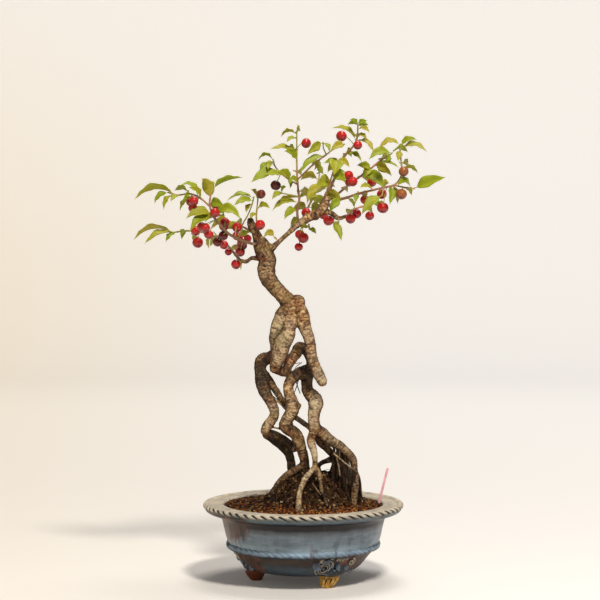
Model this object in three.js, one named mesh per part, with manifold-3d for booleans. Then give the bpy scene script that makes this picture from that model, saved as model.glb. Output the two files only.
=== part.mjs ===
// Korean cherry bonsai with raised roots, in a round glazed pot on three feet.
// Millimetres, Z up. The tree is built about the pot's axis, then moved so that the origin is on the
// ground under the middle of its whole spread.
import * as THREE from 'three';
import { mergeVertices } from 'three/addons/utils/BufferGeometryUtils.js';
import Module from 'manifold-3d';

const wasm = await Module();
wasm.setup();

// Driving dimensions of the pot
const rimRadius = 100.5;
const rimHeight = 79.2;
const mouthRadius = 79.5;
const mouthHeight = 77;
const waistRadius = 75.6;
const waistHeight = 37.5;
const baseRadius = 43;
const footHeight = 11;
const footCircle = 47;
const footAngles = [-59.3, 180, 60.7];
const drainRadius = 10;
const floorHeight = 17;
const ropeTwists = 40;

// Driving dimensions of what fills the pot
const gap = 0.3;
const soilHeight = 76;
const moundSpot = [10, 10];
const skirtReach = { left: 72, right: 52, deep: 46 };
const skirtHeight = 13;
const humpReach = { left: 46, right: 50, deep: 43 };
const humpHeight = 19;
const clodHeight = 3;
const granuleHeight = 2;
const seed = 7;
const finest = 0.1;

// The tree's points are written as they are seen from the front, [across, depth, up] at the pot's axis.
// A point nearer or farther than the axis moves along its line of sight from this eye.
const eyeDistance = 2200;
const eyeHeight = 398;
const eyeAcross = -3.3;

// Leaves and fruit
const leafThickness = 0.9;
const leafFold = 0.22;
const leafWidthPerLength = 0.34;
const longLeaf = 21;
const shortLeaf = 13;
const stalkRadius = 0.65;
const twigSides = 4;
const twigSamples = 60;

const bark = { color: 0x82644b, roughness: 0.85, metalness: 0 };
const glaze = { color: 0x6f7f88, roughness: 0.35, metalness: 0 };
const clay = { color: 0x9a5a2c, roughness: 0.95, metalness: 0 };
const peat = { color: 0x3c2d23, roughness: 1, metalness: 0 };
const foliage = { color: 0x94a61e, roughness: 0.5, metalness: 0 };
const cherrySkin = { color: 0xc8141e, roughness: 0.2, metalness: 0 };
const pinkPlastic = { color: 0xf0b4ba, roughness: 0.4, metalness: 0 };
const blackPlastic = { color: 0x2c2c2e, roughness: 0.6, metalness: 0 };

const tree = new THREE.Group();

function addPart(name, body, look) {
  const { vertProperties, triVerts } = body.asOriginal().simplify(finest).getMesh();
  const geometry = new THREE.BufferGeometry();
  geometry.setAttribute('position', new THREE.BufferAttribute(vertProperties, 3));
  geometry.setIndex(new THREE.BufferAttribute(triVerts, 1));
  const mesh = new THREE.Mesh(geometry, new THREE.MeshStandardMaterial(look));
  mesh.name = name;
  tree.add(mesh);
}

// A three.js geometry as a closed solid, its double points merged and its empty triangles dropped
function solid(geometry) {
  geometry.deleteAttribute('normal');
  geometry.deleteAttribute('uv');
  const merged = mergeVertices(geometry, 1e-4);
  const corners = merged.index.array;
  const kept = [];
  for (let i = 0; i < corners.length; i += 3) {
    const [a, b, c] = corners.slice(i, i + 3);
    if (a !== b && b !== c && c !== a) {
      kept.push(a, b, c);
    }
  }
  const vertProperties = new Float32Array(merged.attributes.position.array);
  const mesh = new wasm.Mesh({ numProp: 3, vertProperties, triVerts: new Uint32Array(kept) });
  return new wasm.Manifold(mesh);
}

function joined(bodies) {
  return bodies.reduce((whole, body) => whole.add(body));
}

// A repeatable run of numbers from 0 to 1
function randomRun(start) {
  let state = start;
  return () => {
    state = (state * 16807) % 2147483647;
    return state / 2147483647;
  };
}

function place([across, depth, up]) {
  const stretch = (eyeDistance + depth) / eyeDistance;
  return new THREE.Vector3(
    eyeAcross + (across - eyeAcross) * stretch,
    depth,
    eyeHeight + (up - eyeHeight) * stretch,
  );
}

function routeOf(points) {
  return new THREE.CatmullRomCurve3(points.map(place), false, 'centripetal');
}

// A tube bent through points of [across, depth, up, radius], with flat ends.
// Its corners stand out so that its section has a round tube's area.
function limb(points, sides, steps, grow = 0) {
  const curve = routeOf(points);
  const cornerReach = Math.sqrt(2 * Math.PI / (sides * Math.sin(2 * Math.PI / sides)));
  const frames = curve.computeFrenetFrames(steps, false);
  const geometry = new THREE.CylinderGeometry(1, 1, 1, sides, steps);
  const position = geometry.attributes.position;
  for (let i = 0; i < position.count; i += 1) {
    const step = Math.round((position.getY(i) + 0.5) * steps);
    const along = step / steps;
    const reach = curve.getUtoTmapping(along) * (points.length - 1);
    const before = Math.min(Math.floor(reach), points.length - 2);
    const thick = THREE.MathUtils.lerp(points[before][3], points[before + 1][3], reach - before);
    const radius = thick * cornerReach + 1.2 * grow;
    const spot = curve.getPointAt(along);
    spot.addScaledVector(frames.binormals[step], position.getX(i) * radius);
    spot.addScaledVector(frames.normals[step], position.getZ(i) * radius);
    if (grow > 0 && step === steps) {
      spot.addScaledVector(frames.tangents[step], grow);
    }
    position.setXYZ(i, spot.x, spot.y, spot.z);
  }
  return solid(geometry);
}

function ball([across, depth, up, radius], sides = 7, rows = 5) {
  const centre = place([across, depth, up]);
  const geometry = new THREE.SphereGeometry(radius, sides, rows);
  geometry.rotateX(Math.PI / 2);
  geometry.translate(centre.x, centre.y, centre.z);
  return solid(geometry);
}

// Pot

// The rope moulding swells and sinks as it turns round the pot
function ropeWave(angle, lag) {
  return Math.cos(ropeTwists * angle + lag);
}

function potBody() {
  // Each row is radius, height, swell of the rope there, and how far its twist lags
  const rows = [
    [0, footHeight, 0, 0],
    [baseRadius, footHeight, 0, 0],
    [57, 15.5, 0, 0],
    [70, 32.5, 0, 0],
    [waistRadius - 0.6, waistHeight - 3.6, 0.9, 0],
    [waistRadius + 0.6, waistHeight + 2.8, 0.7, 1.6],
    [82.6, 66, 0, 0],
    [93.5, 69.4, 0, 0],
    [rimRadius - 1.7, 71.8, 0, 0],
    [rimRadius - 1.3, 74.8, 0.8, 0],
    [rimRadius - 1.8, 77.6, 0.9, 1.6],
    [96.4, rimHeight, 0.7, 2.8],
    [92.5, 77.6, 0, 0],
    [82, 78.4, 0, 0],
    [0, mouthHeight, 0, 0],
  ];
  const outline = rows.map(([radius, height]) => new THREE.Vector2(radius, height));
  const segments = 2 * ropeTwists;
  const geometry = new THREE.LatheGeometry(outline, segments);
  const position = geometry.attributes.position;
  for (let i = 0; i < position.count; i += 1) {
    const [radius, height, swell, lag] = rows[i % rows.length];
    const angle = (Math.floor(i / rows.length) % segments) * (2 * Math.PI / segments);
    const out = radius + swell * ropeWave(angle, lag);
    const lift = height + 0.4 * swell * ropeWave(angle, lag + 1.5);
    position.setXYZ(i, out * Math.sin(angle), out * Math.cos(angle), lift);
  }
  return solid(flipped(geometry));
}

// The same triangles, turned inside out
function flipped(geometry) {
  const corners = geometry.index.array;
  for (let i = 0; i < corners.length; i += 3) {
    [corners[i], corners[i + 1]] = [corners[i + 1], corners[i]];
  }
  return geometry;
}

// A turned solid about the pot's axis, from [radius, height] pairs that start and end on it
function turned(pairs, segments) {
  const outline = pairs.map(([radius, height]) => new THREE.Vector2(radius, height));
  const geometry = new THREE.LatheGeometry(outline, segments);
  geometry.rotateX(Math.PI / 2);
  return solid(geometry);
}

function cavity() {
  const lip = 20;
  return turned([[0, floorHeight], [52, floorHeight], [70, 42], [mouthRadius, mouthHeight],
    [mouthRadius + 0.5, mouthHeight + lip], [0, mouthHeight + lip]], ropeTwists);
}

// One foot with the beast mask over it: jaw, brow, snout and two cheeks against the wall
function foot(angle) {
  const post = new THREE.CylinderGeometry(10.6, 5.9, footHeight + 4, 8);
  post.rotateX(Math.PI / 2);
  post.translate(footCircle, 0, (footHeight + 4) / 2);
  // Each boss is out, sideways, height, then its three half sizes
  const bosses = [
    [54.5, 0, 17, 7, 13, 7],
    [64, 0, 29.5, 4.4, 13, 4],
    [59.6, 0, 21.5, 4.4, 6, 4.6],
    [57.4, -18, 23.5, 4.6, 5.6, 6.2],
    [57.4, 18, 23.5, 4.6, 5.6, 6.2],
  ];
  const parts = [solid(post)];
  for (const [out, sideways, height, thick, wide, tall] of bosses) {
    const boss = new THREE.SphereGeometry(1, 6, 4);
    boss.scale(thick, wide, tall);
    boss.translate(out, sideways, height);
    parts.push(solid(boss));
  }
  return joined(parts).rotate([0, 0, angle]);
}

function pot() {
  const drain = new THREE.CylinderGeometry(drainRadius, drainRadius, 2 * floorHeight + 1, 14);
  drain.rotateX(Math.PI / 2);
  const shell = joined([potBody(), ...footAngles.map(foot)]);
  return shell.subtract(cavity()).subtract(solid(drain));
}

// A square of plastic mesh over the drain hole: crossed bars, fused
function drainScreen() {
  const side = 28;
  const bar = 2;
  const thick = 1;
  const bars = [];
  for (const share of [-0.5, 0, 0.5]) {
    const across = share * (side - bar);
    for (const [wide, long, x, y] of [[bar, side, across, 0], [side, bar, 0, across]]) {
      const strip = new THREE.BoxGeometry(wide, long, thick);
      strip.translate(x, y, floorHeight + gap + thick / 2);
      bars.push(solid(strip));
    }
  }
  return joined(bars);
}

// The marker's points, from the soil up to its top
const markerFoot = [75.5, 10, 77];
const markerTop = [84.5, 10, 113];

function marker(grow = 0) {
  const entry = place(markerFoot);
  const end = place(markerTop);
  const sunk = 10;
  const along = end.clone().sub(entry).normalize();
  const length = end.distanceTo(entry) + sunk + grow;
  const geometry = new THREE.BoxGeometry(2.4 + 2 * grow, 1 + 2 * grow, length);
  geometry.translate(0, 0, length / 2 - sunk - grow);
  const lean = new THREE.Quaternion().setFromUnitVectors(new THREE.Vector3(0, 0, 1), along);
  geometry.applyQuaternion(lean);
  geometry.translate(entry.x, entry.y, entry.z);
  return solid(geometry);
}

// Soil

// A point of an oval about the mound's middle, at an angle from the back
function ovalPoint(reach, angle, share) {
  const side = Math.sin(angle) < 0 ? reach.left : reach.right;
  return [moundSpot[0] + share * side * Math.sin(angle), moundSpot[1] + share * reach.deep * Math.cos(angle)];
}

// A heap of granules round a flat bed: rings of raised points, oval inside and round at the pot's wall
function soilBody() {
  const segments = 48;
  const rings = 5;
  const clearOfMound = 1.03;
  const random = randomRun(seed);
  const outer = mouthRadius - 1.2;
  const rows = [[0, floorHeight + 2], [51, floorHeight + 2], [69, 42.5], [outer, 75]];
  for (let ring = rings; ring >= 0; ring -= 1) {
    rows.push([outer, soilHeight]);
  }
  rows.push([0, soilHeight]);
  const outline = rows.map(([radius, height]) => new THREE.Vector2(radius, height));
  const geometry = new THREE.LatheGeometry(outline, segments);
  const position = geometry.attributes.position;
  const bumps = Array.from({ length: segments * rows.length }, () => random());
  for (let i = 0; i < position.count; i += 1) {
    const row = i % rows.length;
    const turn = Math.floor(i / rows.length) % segments;
    const [radius, height] = rows[row];
    const top = row - 4;
    const angle = (turn + (top > 0 && top % 2 ? 0.5 : 0)) * (2 * Math.PI / segments);
    const inwards = top >= 0 ? Math.min(top / rings, 1) : 0;
    const oval = ovalPoint(skirtReach, angle, top > rings ? 0 : clearOfMound);
    const across = THREE.MathUtils.lerp(radius * Math.sin(angle), oval[0], inwards);
    const depth = THREE.MathUtils.lerp(radius * Math.cos(angle), oval[1], inwards);
    const raised = top > 0 && top < rings ? 1 + granuleHeight * bumps[row * segments + turn] : 0;
    position.setXYZ(i, across, depth, height + raised);
  }
  return solid(flipped(geometry));
}

// How high the old root ball stands over the soil: a steep hump on a low skirt that runs out to the left
function moundRise(x, y) {
  const share = (reach) => Math.hypot((x - moundSpot[0]) / (x < moundSpot[0] ? reach.left : reach.right),
    (y - moundSpot[1]) / reach.deep);
  return skirtHeight * Math.max(1 - share(skirtReach) ** 2, 0)
    + humpHeight * Math.max(1 - share(humpReach) ** 3, 0);
}

function moundBody() {
  const segments = 24;
  const random = randomRun(seed + 4);
  const rows = [0, 1, 0.93, 0.8, 0.62, 0.42, 0.2, 0];
  const outline = rows.map((share, row) => new THREE.Vector2(share, row));
  const geometry = new THREE.LatheGeometry(outline, segments);
  const position = geometry.attributes.position;
  const clods = Array.from({ length: segments * rows.length }, () => random());
  for (let i = 0; i < position.count; i += 1) {
    const row = i % rows.length;
    const turn = Math.floor(i / rows.length) % segments;
    const [x, y] = ovalPoint(skirtReach, turn * (2 * Math.PI / segments), rows[row]);
    const lumpy = row > 1 && row < rows.length - 1;
    const clod = lumpy ? clodHeight * (clods[row * segments + turn] - 0.5) : 0;
    const rise = row > 0 ? Math.max(moundRise(x, y) + clod, 0) : 0;
    position.setXYZ(i, x, y, soilHeight + gap + rise);
  }
  return solid(flipped(geometry));
}

// Wood

const trunk = [[-8, -2, 272, 9], [-13, -2, 277.5, 8.6], [-18.5, -2, 283, 8], [-24.4, -1, 289.6, 7.5],
  [-28.9, 0, 294.7, 7.6], [-32.8, 0, 299.7, 8], [-35.7, 0, 304.7, 8.7], [-36.8, 0, 312, 9.1],
  [-35.6, 0, 319.8, 8.8], [-37.5, 0, 326, 9], [-39.4, 0, 330.5, 9.2], [-42.5, -1, 337, 8.2],
  [-45.5, -1.5, 343.5, 5], [-47.5, -2, 349, 4.3], [-51.3, -3, 355.5, 4.1], [-52.5, -3, 360, 3.6]];
const frontRoot = [[-7, -2, 277, 8], [-1.8, -8, 268, 6.9], [0.9, -12, 256, 6.8],
  [4.6, -14.5, 246.5, 5.9], [7, -16.5, 237, 5.4], [7.9, -18, 227, 5.4], [10.6, -19, 217.5, 5.4],
  [14.9, -21, 207, 5.6], [18.4, -23, 201, 5.4]];
const leftRoot = [[-12, -2, 277, 8], [-20, -6, 268, 6.8], [-24.5, -9, 259, 6.8], [-26.8, -10, 251, 6.8],
  [-28.4, -8, 245, 5.6], [-28.5, -4, 238, 5], [-28.5, 0, 229, 5], [-34, 4, 223.5, 6.2],
  [-40.5, 4, 221, 7.3], [-43.2, 1, 214, 6.4], [-42.6, -2, 209, 6.1], [-42, -4, 201, 6.2],
  [-39.5, -4.5, 192, 6.2], [-35.9, -5, 185, 5.6], [-31.8, -6, 177.5, 5.2], [-28.8, -6.5, 170, 4.9],
  [-29.8, -7, 163.5, 5], [-34.2, -7, 157.5, 5.2], [-37.5, -6, 151.5, 5.2], [-36.5, -2, 147, 5],
  [-30.5, 5, 143, 5], [-22.5, 11, 136.5, 5], [-15.5, 15, 129, 4.8], [-12.3, 17, 120, 4.6],
  [-11.5, 18, 108, 4.4], [-11, 18, 84, 4.2]];
const middleRoot = [[-10, -4, 275, 7], [-12, -11, 260, 6.6], [-13.8, -14, 253, 6.4],
  [-16, -15, 245, 7.9], [-21, -16, 236.5, 8.8], [-23.5, -15, 228, 8.5], [-26, -13, 220, 7.4],
  [-27.8, -9, 214.5, 6], [-23, -5, 210.5, 5], [-18, -2, 209.2, 4.6], [-15.5, 1, 215, 5],
  [-12.1, 4, 221.7, 5.2], [-7.1, 8, 228.3, 5.8], [-3.8, 11, 234, 5.6], [2.5, 13, 231, 5.2],
  [8, 12, 221, 5.4], [9, 8, 211, 6.4]];
const archRoot = [[8, 7, 212, 6.5], [1, 6, 210, 6], [-7, 3, 206, 5.9], [-13.3, -1, 199.5, 5.6],
  [-15, -4, 193, 5.2], [-13, -6, 184, 5.6], [-10.4, -8, 176, 6.5], [-11.5, -8, 169.5, 6.6],
  [-15.5, -7, 162.5, 6.2], [-18.3, -5, 156, 6.3], [-15, -3, 151.8, 6.2], [-8.6, -2, 148, 6.1],
  [-5, -1, 141.5, 6.1], [-3, 0, 135.5, 5.8], [-1, 1, 129, 5.3], [0.5, 2, 122, 4.8], [2, 4, 112, 4.4],
  [4, 5, 98, 4], [4, 5, 84, 3.8]];
const rightRoot = [[7, 7, 214, 7], [4, 5, 204, 6.2], [3.6, 2, 196, 5.8], [5, -1, 189.5, 6],
  [9.5, -5, 184.5, 6.8], [12.7, -8, 179.5, 7], [12.3, -10, 174.5, 7], [10.6, -11, 169, 6.3],
  [10.3, -12, 162, 6], [11, -12, 155, 6.3], [12.5, -10, 148, 6.8]];
const rightFoot = [[12, -10, 151, 6.4], [18, -11.5, 148.5, 6], [23.2, -12, 144, 5.6],
  [30.2, -12, 139, 5.1], [37, -12, 134.8, 4.9], [42, -12, 130, 4.6], [48, -11, 124.5, 4.2],
  [50.6, -10, 118, 3.5], [51, -10, 111, 3.4], [52, -11, 105, 4.1], [51.4, -12, 97, 4.2],
  [51.2, -13, 90, 3.8], [51, -14, 82, 3.4], [50.8, -15, 68, 3]];
const frontFoot = [[11, -11, 150, 5], [7.6, -13, 141, 4], [9.3, -16, 133.5, 3.9], [11, -18, 127.5, 3.4],
  [11.8, -20, 120, 2.9], [11.3, -22, 113.5, 2.9], [7, -25, 108.5, 3], [2.5, -28, 103.3, 3.2],
  [-0.4, -32, 96.5, 3.3], [-3, -36, 90, 3.1], [-4.2, -40, 84, 3], [-4.7, -45, 76, 3.1],
  [-5, -49, 69, 3.1], [-5.2, -50, 58, 2.9]];
// Smaller roots, each ending in the mound or the soil
const smallRoots = [
  [[-40, -1, 209, 4.6], [-34.5, 0, 201, 4.2], [-26, 4, 188.5, 3.6], [-17, 7, 176, 3.2]],
  [[-33, 2, 147, 5], [-26, 7, 144, 4.8], [-12.5, 10, 136, 4.6], [-7, 6, 131, 4.2]],
  [[12, -21, 114, 2.9], [15.5, -23, 108, 2.5], [17.3, -25, 99, 2.1], [18.2, -27, 91, 1.9],
    [21, -29, 83, 1.7], [24, -31, 74, 1.5]],
  [[15, -8, 144, 4.8], [17.5, -4, 138.3, 4.2], [23.4, 0, 132.5, 4], [31, 6, 123.5, 3.8],
    [27, 9, 121.5, 3], [16.5, 15, 116.5, 2.4], [12, 17, 108, 2.2], [12, 17, 90, 2]],
  [[30, -14, 128, 1.4], [41, -19, 118.5, 1.2], [50, -18, 111, 1.1], [54.5, -12, 107, 1.1],
    [57, -8, 100, 1], [57.6, -5, 90, 1], [58, -3, 78, 1], [58, -3, 66, 1]],
  [[-8, 0, 164, 2.8], [-1, -2, 159, 2.6], [7, -8, 153, 2.8]],
  [[-33.5, -2, 186, 1.8], [-28, 3, 181, 1.1], [-23, 3, 177.5, 1.1], [-17, 1, 171.5, 1.3],
    [-11, -3, 168, 1.5]],
  [[-33, -5, 154.5, 1.4], [-23, -3, 152.2, 1], [-16, -3, 151, 1.4]],
  [[2, 2, 118, 3.4], [-8.3, 4, 110.5, 3.8], [-18.3, 6, 103.5, 3.8], [-25, 7, 96.5, 3.4],
    [-31, 8, 86, 2.8]],
  [[-13, -6, 178, 3.4], [-15, 10, 165, 3.4], [-10, 25, 147, 3.2], [0, 32, 122, 3], [4, 34, 84, 2.6]],
  [[36, -12, 135, 3.6], [39, -2, 133, 3.2], [42, 8, 124, 3], [45, 17, 110, 2.8], [46, 24, 80, 2.4]],
  [[31, 6, 124, 2.8], [31.5, 8, 112, 2.6], [32, 9, 86, 2.4]],
  [[37, -8, 132, 2.6], [38.5, 5, 118, 2.2], [39, 8, 86, 2.2]],
];
const branches = [
  [[-39, 0, 328, 7], [-31, -2, 333, 3.6], [-27, -3, 336.5, 2.8], [-23, -4, 340.5, 2.5],
    [-18, -5.5, 345, 2.5], [-13, -7, 349.5, 2.6], [-7, -8, 355, 3.1], [-1, -8, 359, 3.6],
    [7, -7, 364, 4.2], [14, -5, 368, 4.6], [19, -4, 372, 4.6], [23, -2, 378, 3.2], [24, 0, 384, 2]],
  [[15, -4, 369, 3.2], [27, -1, 368, 2.6], [35, 1, 362.5, 2.3], [43, 3, 365, 2]],
  [[-38, 0, 323, 3], [-46, 2, 322.5, 2.6], [-51, 4, 323, 2.2], [-57, 8, 319.5, 2.1],
    [-63, 14, 321, 1.9]],
  [[-40, 0, 335, 2.6], [-50, -9, 337, 1.8]],
  [[-38, 2, 334, 3], [-42, 12, 340, 2.2]],
];
const knots = [[-6, -2, 278.5, 8.2], [18.8, -23, 200, 5.2], [-27.8, -9.5, 213.5, 6],
  [-5.5, -7, 175, 3.6], [12, -7, 366, 5], [19, -3, 372.5, 5.3], [-35, -1, 332, 6], [-35.4, 0, 320, 8.9],
  [12.4, -8, 178, 7.6]];

function rootLimbs(grow = 0) {
  const thick = [
    [frontRoot, 7, 7], [leftRoot, 6, 23], [middleRoot, 7, 14], [archRoot, 6, 16], [rightRoot, 7, 8],
    [rightFoot, 6, 10], [frontFoot, 6, 11],
  ];
  const limbs = thick.map(([points, sides, steps]) => limb(points, sides, steps, grow));
  return limbs.concat(smallRoots.map((points) => limb(points, 5, points.length, grow)));
}

function wood() {
  const limbs = rootLimbs();
  limbs.push(limb(trunk, 9, 11));
  branches.forEach((points) => limbs.push(limb(points, 6, points.length)));
  knots.forEach((knot) => limbs.push(ball(knot)));
  return joined(limbs);
}

// Shoots and leaves

// How far a blade turns about its own line so that it shows this share of its width to the front.
// Blades that point forwards turn their upper face to the front, the others turn it to the back.
function bladeTurn(line, level, crown, share) {
  const flat = new THREE.Vector2(line.x, line.z).normalize();
  const one = level.x * flat.y - level.z * flat.x;
  const two = crown.x * flat.y - crown.z * flat.x;
  const most = Math.hypot(one, two);
  const lead = Math.atan2(two, one);
  const swing = Math.acos(Math.min(share / most, 1));
  const facing = (turn) => crown.y * Math.cos(turn) - level.y * Math.sin(turn);
  const turns = [lead + swing, lead - swing].map((turn) => Math.atan(Math.tan(turn)));
  turns.sort((a, b) => facing(a) - facing(b));
  return line.y <= 0 ? turns[0] : turns[1];
}

// The place on a shoot's twigs that is nearest to a point
function nearest(curves, point) {
  const spots = curves.flatMap((curve) => curve.getPoints(twigSamples));
  return spots.reduce((best, spot) => (spot.distanceTo(point) < best.distanceTo(point) ? spot : best));
}

// A folded, arched blade on a short stalk: base, tip, the width that shows, and the height of its arch
function leaf([bx, by, bz, tx, ty, tz, shown, arch], curves) {
  const base = nearest(curves, place([bx, by, bz]));
  const tip = place([tx, ty, tz]);
  const line = tip.clone().sub(base);
  const length = line.length();
  const width = Math.max(shown, leafWidthPerLength * length + 1);
  line.normalize();
  const level = line.clone().cross(new THREE.Vector3(0, 0, 1)).normalize();
  const crown = level.clone().cross(line);
  const turn = bladeTurn(line, level, crown, shown / width);
  const side = level.clone().multiplyScalar(Math.cos(turn)).addScaledVector(crown, Math.sin(turn));
  // Stations along the blade: place, share of the width, share of the thickness
  let stations = [[0, 0.12, 1], [0.4, 1, 1], [0.7, 0.7, 1], [1, 0, 0]];
  if (length > longLeaf) {
    stations = [[0, 0.1, 1], [0.16, 0.14, 1], [0.38, 1, 1], [0.68, 0.72, 1], [1, 0, 0]];
  } else if (length < shortLeaf) {
    stations = [[0, 0.15, 1], [0.45, 1, 1], [1, 0, 0]];
  }
  const steps = stations.length - 1;
  const geometry = new THREE.ConeGeometry(1, 1, 4, steps);
  const position = geometry.attributes.position;
  for (let i = 0; i < position.count; i += 1) {
    const step = Math.round((position.getY(i) + 0.5) * steps);
    const [along, share, thick] = stations[step];
    const shrink = Math.max(1 - step / steps, 1e-6);
    const across = step === steps ? 0 : position.getX(i) / shrink;
    const over = step === steps ? 0 : position.getZ(i) / shrink;
    const slope = line.clone().multiplyScalar(length).addScaledVector(crown, arch * 4 * (1 - 2 * along));
    slope.normalize();
    const out = side.clone().addScaledVector(slope, -side.dot(slope)).normalize();
    const face = out.clone().cross(slope);
    const spot = base.clone().addScaledVector(line, length * along);
    spot.addScaledVector(crown, arch * 4 * along * (1 - along));
    spot.addScaledVector(out, across * share * width / 2);
    spot.addScaledVector(face, Math.abs(across) * share * width * leafFold);
    spot.addScaledVector(face, over * thick * leafThickness / 2);
    position.setXYZ(i, spot.x, spot.y, spot.z);
  }
  return solid(geometry);
}

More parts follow.
